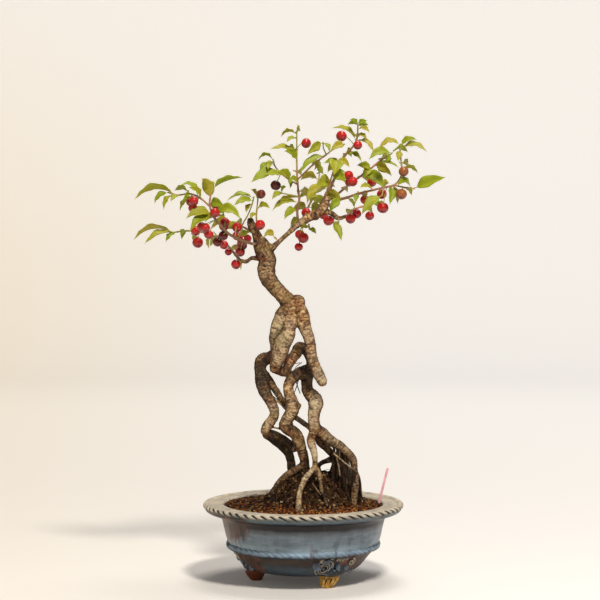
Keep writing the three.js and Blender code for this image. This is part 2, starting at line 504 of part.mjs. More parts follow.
// Each shoot: its twigs as rows of [across, depth, up, radius] and its leaves as
// [base across, depth, up, tip across, depth, up, shown width, arch]
const shoots = {
  left_high: {
    twigs: [
      [[-50.7, -9.6, 337.2, 1.5], [-60, -14, 340, 1.5], [-67, -17, 343, 1.4], [-74, -20, 347, 1.4],
        [-81, -24, 354, 1.3], [-87, -26, 361, 1.2], [-91, -27, 368, 1.1], [-93, -26, 377, 1],
        [-91, -24, 391, 0.8]],
      [[-92.5, -26, 374, 1], [-103, -24, 383, 0.9], [-113, -20, 387, 0.8], [-125, -16, 385.5, 0.8],
        [-134, -13, 388, 0.7]],
    ],
    leaves: [
      [-126, -16, 385.5, -168, -6, 381, 5, 8],
      [-134, -13, 388, -148, -14, 377, 5, 3],
      [-130, -15, 386, -139, -24, 371, 4, 2],
      [-123, -17, 385.5, -132, -28, 379, 4, 1],
      [-113, -20, 387, -119, -30, 380, 5, 2],
      [-109, -22, 385, -123, -10, 370, 2.5, 2],
      [-104, -24, 384, -123, -30, 395, 4, 6],
      [-101, -24, 382, -114, -38, 393, 5, 3],
      [-93, -26, 381, -101, -36, 402.5, 11, 5],
      [-92.5, -26, 378, -79, -38, 373, 9, 3],
      [-91, -24, 390, -60, -16, 403, 4, 3],
      [-89, -26.5, 365, -62, -36, 361, 9, 8],
      [-91, -27, 367, -117, -38, 362, 8, 4],
      [-89, -26.5, 363, -113, -44, 349, 8, 4],
      [-113, -20, 387, -128, -4, 390, 4, 3],
      [-91, -24, 390, -96, -6, 396, 6, 3],
    ],
  },
  left_low: {
    twigs: [
      [[-63.7, 14.9, 321.7, 1.4], [-68, 18, 327, 1.4], [-73, 22, 333, 1.3], [-79, 26, 339, 1.2],
        [-87, 28, 344, 1.1], [-98, 24, 348, 1], [-107, 17, 349.5, 0.9], [-117, 10, 350, 0.8],
        [-129, 4, 348.5, 0.7]],
      [[-67, 17.5, 326, 1], [-66, 10, 335, 0.9], [-63, 4, 345, 0.8], [-60.5, 0, 356, 0.8],
        [-55, -3, 366, 0.7], [-51, -5, 376, 0.7], [-49, -6, 384, 0.6]],
    ],
    leaves: [
      [-129, 4, 348.5, -169, 14, 341, 3, 7],
      [-128, 4.5, 348.5, -158, -10, 337, 4.5, 4],
      [-124, 6, 349, -137, -8, 339, 4, 1],
      [-117, 10, 350, -121, -2, 341, 6, 4],
      [-110, 15, 349.7, -108, 26, 335, 5, 1],
      [-92, 26.5, 346, -94, 34, 332, 2.5, 1],
      [-67, 17.3, 325.6, -62, 28, 311, 4, 1],
      [-79, 26, 339, -93, 46, 334, 6, 4],
      [-87, 28, 344, -84, 54, 338, 8, 4],
      [-98, 24, 348, -112, 44, 346, 6, 4],
      [-49.5, -6, 383, -76, -8, 379.5, 2.5, 4],
      [-50, -5.5, 380, -69, -20, 375, 6, 3],
      [-51, -5, 377, -57, -14, 368, 4, 1],
      [-73, 22, 333, -60, 38, 326, 7, 3],
    ],
  },
  left_stub: {
    twigs: [[[-46.5, -5.5, 359.5, 0.9], [-46.6, -6, 366, 0.8], [-46, -6.5, 374, 0.7], [-45, -7, 382, 0.6]]],
    leaves: [
      [-46, -5, 367, -53, -13, 362, 4, 1],
      [-46, -5, 370, -33, -16, 372, 4.5, 4],
      [-45.5, -6.5, 380, -52, 6, 391, 3, 2],
    ],
  },
  left_back: {
    twigs: [[[-42.3, 12.6, 340.4, 1.4], [-50, 24, 348, 1.3], [-60, 36, 354, 1.1], [-70, 48, 358, 0.9],
      [-78, 58, 362, 0.7]]],
    leaves: [
      [-51, 25, 348.6, -66, 34, 339, 6, 3],
      [-57, 32.5, 352, -48, 50, 344, 7, 3],
      [-63, 39.5, 355, -80, 44, 350, 7, 3],
      [-68, 45.5, 357, -62, 68, 352, 8, 4],
      [-72, 50.5, 359, -91, 58, 352, 7, 4],
      [-78, 58, 361.5, -98, 70, 358, 7, 5],
      [-78, 58, 361.5, -80, 82, 366, 7, 5],
    ],
  },
  upright: {
    twigs: [
      [[-5.5, -8, 361.8, 1.3], [-6, -9, 370, 1.2], [-4, -10, 380, 1.1], [-5, -10, 390, 1.1],
        [-6, -10, 402, 1], [-6.5, -9, 420, 0.8], [-6.5, -8, 437, 0.7], [-6.4, -7, 450, 0.5]],
      [[-5.5, -10, 396, 0.9], [-14, -6, 401, 0.8], [-22, -2, 407, 0.8], [-28, 2, 414, 0.7],
        [-30, 4, 421, 0.6]],
      [[-4.5, -10, 384, 0.8], [-14, -16, 386, 0.7], [-24, -20, 388, 0.6]],
      [[-5.5, -10, 401, 0.9], [10, -14, 416, 0.9], [22, -18, 425, 0.8], [30, -20, 431, 0.7],
        [41, -20, 436, 0.6]],
      [[23, -18, 425.5, 0.7], [20, -20, 432, 0.6], [19.5, -20, 438, 0.6]],
    ],
    leaves: [
      [-6.5, -7.5, 445, -22.5, -1, 443, 3, 4],
      [-6.5, -7.7, 441, -17, -18, 438, 3, 2],
      [-6.4, -7, 446, -3, 12, 449, 3, 3],
      [-6.5, -8.5, 426, -33, -18, 431, 4, 4],
      [-6.5, -9, 420, -19, -23, 429, 7, 3],
      [-30, 4, 420, -45, 8, 420, 3, 5],
      [-29.7, 3.7, 419, -35, -10, 410, 6, 2],
      [-28.5, 2.5, 415.5, -43, -3, 406, 4, 5],
      [-25, 0, 410, -52, -12, 398, 9, 3],
      [-12, -7, 400, -26, -22, 408, 7, 3],
      [-15, -5.5, 402, -13, -14, 392, 4, 2],
      [-20, -3, 405.5, -39, -14, 405, 5, 2],
      [-5.7, -10, 397, -14, -24, 401, 5, 2],
      [-20, -18.5, 387.3, -31, -26, 381, 5, 2],
      [-22, -19.3, 387.7, -17, -30, 394, 3, 1],
      [-4.2, -10, 379, -31, -20, 370, 4, 3],
      [-5.5, -9, 371, -19, -20, 361, 7, 3],
      [-4.5, -10, 382.5, -28, -4, 377, 2.5, 2],
      [19.5, -20, 437, 4, -30, 425, 8, 3],
      [19.5, -20, 437, 26, -28, 428, 4, 2],
      [22, -18, 425, -4, -34, 407, 6.5, 3],
      [15, -15.5, 420, 11, -24, 410, 3, 1],
      [40.5, -20, 435.5, 27, -33, 430, 7, 2],
      [-6, -9.7, 409, -2, 13, 405, 7, 3],
      [-6.5, -8.6, 430, -13, 12, 428, 5, 3],
      [-5, -10, 389, 3, 12, 384, 7, 3],
      [10, -14, 416, 15, 8, 411, 6, 3],
    ],
  },
  top: {
    twigs: [[[24.3, 0.8, 385.2, 1.6], [27, 5, 393, 1.5], [31, 8, 402, 1.4], [35, 9, 412, 1.3],
      [39, 7, 422, 1.2], [48, 4, 432, 1], [53, 2, 441, 0.8], [54, 0, 452, 0.7], [54, -1, 457, 0.6]]],
    leaves: [
      [54, -1, 456, 46, -8, 460.5, 4, 1],
      [54, -1, 456, 63.5, -5, 459, 4, 1],
      [54, -0.6, 454.5, 44, 6, 455, 3.5, 2],
      [54, -0.5, 453.5, 65, 3, 454.5, 4, 2],
      [54, 0, 451, 66, -9, 447, 4, 3],
      [53.5, 1, 446, 63, -8, 440.5, 3.5, 1],
      [52, 2.4, 439.5, 28, -1, 452, 4, 5],
      [52.5, 2, 440, 70, -8, 428, 4, 4],
      [42, 6, 425.3, 58, -3, 418.5, 4, 4],
      [31.5, 8.2, 403, 41, 32, 398, 8, 4],
      [35, 9, 412, 24, 31, 408, 8, 4],
      [40, 6.7, 423, 48, 27, 423, 6, 4],
      [53, 2, 441, 50, 20, 444, 5, 3],
      [27.5, 5.5, 394.5, 14, 26, 387, 8, 4],
      [36, 8.6, 414.5, 20, 4, 417, 6, 3],
    ],
  },
  right_front: {
    twigs: [
      [[25.7, -7.5, 374.5, 1.5], [33, -12, 380, 1.4], [43, -18, 383, 1.3], [55, -22, 387, 1.2],
        [67, -23, 390, 1.1], [79, -21, 393, 1.1], [91, -17, 396, 1], [97, -15, 404, 0.9],
        [97.5, -14, 416, 0.8], [96, -13, 428, 0.7], [97, -13, 436, 0.6]],
      [[90, -17.3, 395.5, 0.9], [101, -15, 393, 0.8], [110, -13, 392, 0.8]],
      [[80, -21, 393, 0.8], [78, -26, 385, 0.7]],
    ],
    leaves: [
      [96.8, -13, 435, 75, -16, 429, 5, 6],
      [97, -13, 434, 113, -17, 440.5, 5, 3],
      [96.3, -13, 431, 123, -22, 428, 5, 5],
      [96, -13, 429, 94, -22, 419, 6, 1],
      [97.3, -14.3, 412, 114, -5, 407, 3.5, 3],
      [110, -13, 392, 141.7, -24, 403.4, 10, 1],
      [107, -13.7, 392.4, 93, -28, 394, 6, 6],
      [101, -15, 393, 108, -2, 385, 4, 2],
      [87.5, -18, 395.3, 86, -31, 376, 7, 2],
      [90, -17.5, 395.7, 94, -8, 377, 5, 1],
      [78, -26, 385.5, 58, -36, 366, 9, 3],
      [53, -21.5, 386.5, 52, -30, 378, 5, 1],
      [38, -15, 381.5, 26, -26, 368, 8, 2],
      [68, -23, 390.3, 56, -36, 393, 4, 2],
      [43, -18, 383, 51, -8, 373, 2.5, 1],
      [56, -22, 387.3, 62, -2, 380, 6, 3],
      [80, -21, 393.3, 85, -2, 397, 6, 3],
      [97.5, -14, 416, 104, 6, 414, 5, 3],
    ],
  },
  right_back: {
    twigs: [[[21.3, 3.6, 377.5, 1.4], [31, 13, 384, 1.3], [43, 21, 394, 1.2], [55, 27, 403, 1.1],
      [67, 30, 412, 1], [77, 32, 420, 0.9], [88, 34, 427, 0.7]]],
    leaves: [
      [67, 30, 412.5, 53, 16, 415, 7, 2],
      [66.5, 29.8, 411.5, 60, 17, 401, 8, 3],
      [88, 34, 426.5, 65, 22, 420.5, 8, 4],
      [87, 33.8, 426, 82, 22, 418, 5, 1],
      [70, 30.6, 414.5, 88, 16, 404, 9, 4],
      [60, 28.3, 407, 81, 12, 391, 11, 4],
      [72, 31, 416, 95, 26, 412.5, 2.5, 3],
      [88, 34, 426.5, 104, 50, 428, 5, 4],
      [43, 21, 394, 44, 45, 388, 8, 4],
      [55, 27, 403, 66, 50, 397, 8, 4],
      [77, 32, 420, 84, 56, 420, 7, 4],
      [31, 13, 384, 21, 34, 377, 8, 4],
    ],
  },
  right_low: {
    twigs: [[[43.7, 3.6, 365.4, 1.2], [50, 8, 371, 1.1], [58, 12, 374, 0.9], [68, 14, 376, 0.7]]],
    leaves: [
      [58, 12, 374, 69, 30, 368, 7, 3],
      [68, 14, 376, 84, 22, 370, 5, 3],
      [50, 8, 371, 46, 28, 363, 7, 3],
      [67.5, 14, 376, 77, -3, 372, 5, 3],
    ],
  },
  middle_back: {
    twigs: [[[-5.6, -2.8, 353.9, 1.4], [-1, 12, 361, 1.3], [4, 28, 372, 1.2], [10, 42, 384, 1],
      [14, 54, 395, 0.9], [16, 63, 406, 0.7]]],
    leaves: [
      [-2, 9, 359.3, -13, 24, 354, 7, 3],
      [1, 18, 365, 14, 32, 360, 7, 3],
      [4, 28, 372, -11, 42, 369, 8, 4],
      [8, 37, 379.7, 24, 50, 374, 8, 4],
      [10, 42, 384, -4, 60, 382, 8, 4],
      [14, 54, 395, 32, 64, 393, 8, 4],
      [15, 58.5, 400, -3, 72, 400, 7, 4],
      [16, 63, 405.5, 20, 86, 406, 8, 5],
      [16, 63, 405.5, 6, 72, 421, 6, 3],
    ],
  },
  middle_front: {
    twigs: [[[12.5, -12.8, 369.5, 1.3], [17, -26, 376, 1.2], [21, -40, 384, 1.1], [25, -52, 393, 1],
      [28, -60, 403, 0.9], [33, -62, 420, 0.7]]],
    leaves: [
      [26, -55, 396.5, 12, -75, 394, 12, 4],
      [28.5, -60.3, 405, 42, -74, 398, 11, 3],
      [24, -49.5, 391, 3.5, -61, 376, 9, 8],
      [20, -36.5, 382, 6, -48, 377, 4, 4],
      [33, -62, 419.5, 31, -76, 405, 13, 3],
      [33, -62, 419.5, 46, -70, 413, 6, 2],
      [22.5, -44.5, 387, 38, -54, 381, 8, 3],
      [17, -26, 376, 8, -42, 368, 6, 3],
    ],
  },
  fork: {
    twigs: [[[-26.5, -6, 341.8, 0.9], [-28.5, -8, 343.5, 0.7]]],
    leaves: [
      [-28.5, -8, 343.3, -39.5, -12, 342.6, 6, 5],
    ],
  },
  under_right: {
    twigs: [[[30.4, -2.8, 362.4, 0.9], [29, -5, 358, 0.7]]],
    leaves: [
      [29, -5, 358.5, 38, -14, 340, 7, 1],
      [29, -5, 358.5, 34, 10, 352, 5, 2],
    ],
  },
  under_branch: {
    twigs: [[[5.4, -11, 357, 0.9], [6, -13, 352, 0.7]]],
    leaves: [
      [6, -13, 352.5, 13, -20, 347, 4, 1],
      [6, -13, 352.5, -3, -24, 352, 3.5, 2],
    ],
  },
};

function shoot({ twigs, leaves }) {
  const parts = twigs.map((points) => limb(points, twigSides, points.length - 1));
  const curves = twigs.map(routeOf);
  return joined(parts.concat(leaves.map((row) => leaf(row, curves))));
}

// Cherries

// Each bunch: where it grows, the radius of what carries it there, and its cherries as
// [across, depth, up, radius]
const bunches = [
  [[-103, -24, 383, 0.9], [[-109, -34, 379.5, 4.8], [-109.5, -26.5, 372.5, 4.8], [-112, -6, 379, 4.7]]],
  [[-91, -27, 368, 1.1], [[-87, -19, 376, 4.8], [-88, -35, 368, 4.8]]],
  [[-87, -26, 361, 1.2], [[-97.5, -34, 353, 4.8], [-94, -27, 346.4, 4.8], [-101, -25, 354, 4.8]]],
  [[-103, 20.5, 348.8, 1], [[-107, 5, 350, 4.8], [-105, 8, 338.3, 5.5]]],
  [[-78, -22.3, 351, 1.3], [[-78, -12, 358.3, 4.8], [-79, -3, 354.5, 4.8]]],
  [[-76, -21, 349, 1.4], [[-79.5, -11, 345.3, 4.8], [-85.4, -5, 339, 4.8]]],
  [[-75, 23.5, 335, 1.3], [[-79, 10, 336, 4.5], [-74.6, 14, 329, 3.7]]],
  [[-68, -17.4, 343.5, 1.4], [[-66, -8, 353.5, 5]]],
  [[-60, -14, 340, 1.5], [[-60.5, -5, 340, 5], [-60.5, 4, 335.5, 4.8], [-62.7, -3, 329, 4.8]]],
  [[-59, 10, 320, 2.1], [[-67, 5, 316.6, 5]]],
  [[-48.5, -2, 351, 4.8], [[-43, -10.5, 356, 5.1]]],
  [[-45, -7, 382, 0.6], [[-42, -11, 386.5, 4.6]]],
  [[-22, -2, 407, 0.8], [[-27.4, -4, 395.2, 5.3]]],
  [[-6.4, -8.5, 432, 0.8], [[2.8, -12, 437, 5]]],
  [[50, 3, 436, 0.9], [[37.8, -13, 444, 5.4]]],
  [[51, 2.6, 438, 0.9], [[54, -9, 435, 4.5]]],
  [[35, 9, 412, 1.3], [[45, -3, 405, 4.8], [49, -11, 399, 5], [46, 4, 398.5, 4.8]]],
  [[33, -12, 380, 1.4], [[31.5, -3.5, 384.4, 4.6]]],
  [[2, -7.6, 361, 4.1], [[2.8, 5, 368, 4.8]]],
  [[-1, -8, 359, 3.9], [[-3.5, -4, 346.5, 4.8], [0, -13, 343, 5.5], [-4.5, -8, 334, 4.3]]],
  [[24, -2, 368.3, 2.8], [[25, -8.5, 360.2, 5.2]]],
  [[43, 3, 365, 2], [[47, -7, 362, 5], [53, -1, 367, 4.8]]],
  [[61, -22.5, 388.5, 1.2], [[61, -13, 381, 4.5]]],
  [[62, 13, 375, 0.9], [[66, 2, 365, 4.6]]],
  [[76, -21.5, 392.3, 1.1], [[78, -12, 386.5, 5]]],
  [[83, -20, 394, 1.1], [[79, -16, 373, 5.8]]],
  [[99, -15.4, 393.6, 0.8], [[97.5, -21, 386.5, 5.5]]],
  [[97.4, -14.3, 411, 0.8], [[99.6, -22, 409, 5]]],
  [[-62, 38.5, 354.7, 1.1], [[-56, 42, 342, 4.8], [-66, 51, 345, 4.8]]],
  [[5, 30.5, 374, 1.2], [[20, 34, 366, 4.8]]],
  [[62, 28.7, 408.3, 1.1], [[68, 38, 398, 4.8]]],
];

// Cherries on bent stalks that leave one point just clear of the twig
function bunch([[across, depth, up, carrier], cherries]) {
  const root = place([across, depth, up]);
  const centres = cherries.map((cherry) => place(cherry));
  const middle = new THREE.Vector3();
  centres.forEach((centre) => middle.addScaledVector(centre, 1 / centres.length));
  const away = middle.clone().sub(root).normalize();
  const bud = root.clone().addScaledVector(away, carrier + gap + stalkRadius + 0.3);
  const parts = [];
  centres.forEach((centre, i) => {
    const radius = cherries[i][3];
    const fruit = new THREE.SphereGeometry(radius, 7, 4);
    fruit.rotateX(Math.PI / 2);
    fruit.translate(centre.x, centre.y, centre.z);
    parts.push(solid(fruit), stalk(bud, centre, radius));
  });
  return joined(parts);
}

function stalk(bud, centre, radius) {
  const top = bud.clone().sub(centre);
  top.z = Math.max(top.z, 0) + radius * 0.4;
  top.normalize().multiplyScalar(radius * 0.8).add(centre);
  const bend = bud.clone().lerp(top, 0.5);
  bend.z += 0.12 * bud.distanceTo(top);
  const curve = new THREE.QuadraticBezierCurve3(bud, bend, top);
  const steps = 2;
  const frames = curve.computeFrenetFrames(steps, false);
  const geometry = new THREE.CylinderGeometry(1, 1, 1, 3, steps);
  const position = geometry.attributes.position;
  for (let i = 0; i < position.count; i += 1) {
    const step = Math.round((position.getY(i) + 0.5) * steps);
    const spot = curve.getPointAt(step / steps);
    spot.addScaledVector(frames.binormals[step], position.getX(i) * stalkRadius);
    spot.addScaledVector(frames.normals[step], position.getZ(i) * stalkRadius);
    position.setXYZ(i, spot.x, spot.y, spot.z);
  }
  return solid(geometry);
}

// The whole tree in its pot

const rootHoles = joined(rootLimbs(gap));
addPart('pot', pot(), glaze);
addPart('drain_screen', drainScreen(), blackPlastic);
addPart('soil', soilBody().subtract(rootHoles).subtract(marker(gap)), clay);
addPart('root_mound', moundBody().subtract(rootHoles), peat);
addPart('tree_wood', wood(), bark);
addPart('marker_pick', marker(), pinkPlastic);
Object.entries(shoots).forEach(([name, parts]) => addPart(`spray_${name}`, shoot(parts), foliage));
bunches.forEach((rows, i) => addPart(`cherries_${String(i + 1).padStart(2, '0')}`, bunch(rows), cherrySkin));

// The crown spreads farther to the left than to the right of the pot
const spread = new THREE.Box3().setFromObject(tree).getCenter(new THREE.Vector3());
tree.position.set(-spread.x, -spread.y, 0);

export default tree;
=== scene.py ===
import math
import random

import bmesh
import bpy
import numpy as np
from mathutils import Matrix, Vector, noise
from mathutils.kdtree import KDTree


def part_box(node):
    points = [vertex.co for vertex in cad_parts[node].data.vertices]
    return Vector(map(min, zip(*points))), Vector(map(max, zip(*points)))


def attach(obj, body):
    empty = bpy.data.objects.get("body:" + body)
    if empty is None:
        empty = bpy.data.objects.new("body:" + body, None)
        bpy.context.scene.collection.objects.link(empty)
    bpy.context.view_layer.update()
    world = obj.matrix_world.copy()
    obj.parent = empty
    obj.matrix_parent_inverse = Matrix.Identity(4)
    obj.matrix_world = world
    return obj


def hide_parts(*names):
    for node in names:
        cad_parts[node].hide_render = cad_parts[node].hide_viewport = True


# A korean cherry bonsai on raised roots, in a round rope-rimmed pot.
# Lengths are written in millimetres, as they are seen from the front, and turned to metres last.
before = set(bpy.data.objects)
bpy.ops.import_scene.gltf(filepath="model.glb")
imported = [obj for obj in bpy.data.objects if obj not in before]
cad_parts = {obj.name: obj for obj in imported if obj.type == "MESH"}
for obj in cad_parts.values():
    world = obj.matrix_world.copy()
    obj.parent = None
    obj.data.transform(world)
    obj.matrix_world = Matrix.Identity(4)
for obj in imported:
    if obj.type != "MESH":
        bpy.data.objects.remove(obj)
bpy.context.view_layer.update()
mm = 0.001
potLow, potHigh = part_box("pot")
potX = (potLow.x + potHigh.x) / 2 / mm  # the pot stands right of the origin, under the crown's middle

# the eye that the points are seen from: its distance, height and place left of the pot's axis
eye = {"distance": 2200, "height": 398, "across": -3.3, "focal": 2211.7, "frame": 600, "tilt": 3.04}


def place(across, depth, up):  # a point seen at (across, up), moved along its line of sight to its depth
    stretch = (eye["distance"] + depth) / eye["distance"]
    return Vector((
        potX + eye["across"] + (across - eye["across"]) * stretch,
        depth,
        eye["height"] + (up - eye["height"]) * stretch,
    ))


def linear(code):  # an sRGB hex colour as the linear one that a shader takes
    parts = [int(code[i:i + 2], 16) / 255 for i in (1, 3, 5)]
    return [c / 12.92 if c <= 0.04045 else ((c + 0.055) / 1.055) ** 2.4 for c in parts] + [1.0]


def addNode(tree, kind, settings=None, links=None):
    # a node with its values, its colour stops and its links; a link may name a node for its main output
    node = tree.nodes.new("ShaderNode" + kind)
    if kind == "Mix":
        node.data_type = "RGBA"
    sockets = {s.identifier: s for s in node.inputs}
    for key, value in (settings or {}).items():
        if key == "stops":
            while len(node.color_ramp.elements) < len(value):
                node.color_ramp.elements.new(1)
            for element, (spot, code) in zip(node.color_ramp.elements, value):
                element.position = spot
                element.color = linear(code) if isinstance(code, str) else (code, code, code, 1)
        elif key == "interpolation":
            node.color_ramp.interpolation = value
        elif key == "range":  # from low, from high, and to low, to high if it isn't 0 to 1
            for end, number in zip(("From Min", "From Max", "To Min", "To Max"), value):
                sockets[end].default_value = number
        elif key in sockets:
            sockets[key].default_value = linear(value) if isinstance(value, str) else value
        else:
            setattr(node, key, value)
    for key, source in (links or {}).items():
        if isinstance(source, bpy.types.Node):
            main = {"ATTRIBUTE": "Fac", "TEX_COORD": "Object"}.get(source.type)
            source = next(o for o in source.outputs if o.name == main or not main and o.enabled)
        tree.links.new(source, sockets[key])
    return node


def startMaterial(name):  # also gives its node tree and where on the object a point is, in metres
    material = bpy.data.materials.new(name)
    material.use_nodes = True
    material.node_tree.nodes.clear()
    return material, material.node_tree, addNode(material.node_tree, "TexCoord")


def endMaterial(material, settings, links):
    skin = addNode(material.node_tree, "BsdfPrincipled", settings, links)
    addNode(material.node_tree, "OutputMaterial", {}, {"Surface": skin})
    return material


def keep(mesh, name, nodes, materials):  # a finished mesh as a piece that stands for its nodes
    piece = linked(mesh, name)
    for material in materials:
        mesh.materials.append(material)
    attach(piece, "root")
    if nodes:
        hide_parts(*nodes)
    return piece


def applied(thing):  # the mesh of an object with its modifiers worked in; the object itself goes
    graph = bpy.context.evaluated_depsgraph_get()
    mesh = bpy.data.meshes.new_from_object(thing.evaluated_get(graph))
    old = thing.data
    bpy.data.objects.remove(thing)
    if isinstance(old, bpy.types.Mesh):
        bpy.data.meshes.remove(old)
    return mesh


def meshOf(bm, name, smooth=True):
    mesh = bpy.data.meshes.new(name)
    bm.to_mesh(mesh)
    bm.free()
    return shaded(mesh, smooth)


def linked(data, name=None):
    thing = bpy.data.objects.new(name or data.name, data)
    bpy.context.scene.collection.objects.link(thing)
    return thing


def shaded(mesh, smooth=True):
    mesh.polygons.foreach_set("use_smooth", [smooth] * len(mesh.polygons))
    return mesh


def joinedMesh(meshes, name):  # several meshes as one
    bm = bmesh.new()
    for mesh in meshes:
        bm.from_mesh(mesh)
        bpy.data.meshes.remove(mesh)
    return meshOf(bm, name)


def setNumbers(mesh, name, values):  # one number for each vertex, read by a material
    layer = mesh.attributes.new(name, "FLOAT", "POINT")
    layer.data.foreach_set("value", np.asarray(values, np.float32))


def corners(mesh):
    flat = np.empty(len(mesh.vertices) * 3)
    mesh.vertices.foreach_get("co", flat)
    return flat.reshape(-1, 3)


def hollows(mesh, rounds=2):
    # 0 in a crease, 0.5 on the flat, 1 on a crest, from how each vertex stands to its neighbours
    spots = corners(mesh)
    flat = np.empty(len(mesh.vertices) * 3)
    mesh.vertices.foreach_get("normal", flat)
    normals = flat.reshape(-1, 3)
    ends = np.empty(len(mesh.edges) * 2, int)
    mesh.edges.foreach_get("vertices", ends)
    a, b = ends.reshape(-1, 2).T
    count = np.maximum(np.bincount(np.r_[a, b], minlength=len(spots)), 1)

    def spread(values):
        total = np.zeros_like(values)
        np.add.at(total, a, values[b])
        np.add.at(total, b, values[a])
        return (total.T / count).T

    bend = ((spots - spread(spots)) * normals).sum(1)
    for _ in range(rounds):
        bend = 0.5 * bend + 0.5 * spread(bend)
    size = np.percentile(np.abs(bend), 90) + 1e-9
    return np.clip(0.5 + 0.5 * bend / size, 0, 1)


def route(points, steps=8):
    # a centripetal curve through points of (across, depth, up, radius), as a run of (place, radius)
    spots = [place(*p[:3]) for p in points]
    radii = [p[3] for p in points]
    spots = [spots[0] * 2 - spots[1]] + spots + [spots[-1] * 2 - spots[-2]]
    found = []
    for i in range(len(points) - 1):
        p0, p1, p2, p3 = spots[i:i + 4]
        d0, d1, d2 = (p1 - p0).length ** 0.5, (p2 - p1).length ** 0.5, (p3 - p2).length ** 0.5
        lead = ((p1 - p0) / d0 - (p2 - p0) / (d0 + d1) + (p2 - p1) / d1) * d1
        tail = ((p2 - p1) / d1 - (p3 - p1) / (d1 + d2) + (p3 - p2) / d2) * d1
        for j in range(steps + (i == len(points) - 2)):
            t = j / steps
            spot = p1 + lead * t + (3 * (p2 - p1) - 2 * lead - tail) * t ** 2
            spot += (2 * (p1 - p2) + lead + tail) * t ** 3
            found.append((spot, radii[i] + (radii[i + 1] - radii[i]) * t))
    return found


def roundEnd(samples, reach=1.0):  # a blunt, rounded tip added to a run of samples
    (before, _), (last, radius) = samples[-2:]
    onward = (last - before).normalized()
    for angle in (25, 48, 66, 80, 88):
        turn = math.radians(angle)
        samples.append((last + onward * radius * reach * math.sin(turn), radius * math.cos(turn)))
    return samples


def tubes(runs, name, roundness=2):  # round tubes along runs of (place, radius), in metres
    curve = bpy.data.curves.new(name, "CURVE")
    curve.dimensions = "3D"
    curve.bevel_depth = mm
    curve.bevel_resolution = roundness
    curve.use_fill_caps = True
    for run in runs:
        spline = curve.splines.new("POLY")
        spline.points.add(len(run) - 1)
        for point, (spot, radius) in zip(spline.points, run):
            point.co = (*(spot * mm), 1)
            point.radius = radius
    mesh = applied(linked(curve))
    bpy.data.curves.remove(curve)
    mesh.name = name
    return shaded(mesh)


def turned(outline, steps, closed=False):  # a bmesh of an outline of (radius, height) turned about the axis
    bm = bmesh.new()
    points = [bm.verts.new((out, 0, up)) for out, up in outline]
    edges = [bm.edges.new(pair) for pair in zip(points, points[1:] + points[:closed])]
    bmesh.ops.spin(bm, geom=points + edges, cent=(0, 0, 0), axis=(0, 0, 1), angle=math.tau, steps=steps,
                   use_merge=True)
    return bm


def lumps(spot, size, seed=0.0):  # soft noise from -1 to 1 at a place in mm, with lumps of that size
    return noise.noise(Vector(spot) / size + Vector((seed, 0, 0)))


def cloudedMaterial(name, size, detail, stops, settings, rough=None):
    # a plain material whose colour, and how rough it is, drift over that size, in metres
    material, tree, spot = startMaterial(name)
    cloud = addNode(tree, "TexNoise", {"Scale": 1 / size, "Detail": detail}, {"Vector": spot})
    links = {"Base Color": addNode(tree, "ValToRGB", {"stops": stops}, {"Fac": cloud})}
    if rough:
        links["Roughness"] = addNode(tree, "MapRange", {"range": (0, 1, *rough)}, {"Value": cloud})
    return endMaterial(material, settings, links)


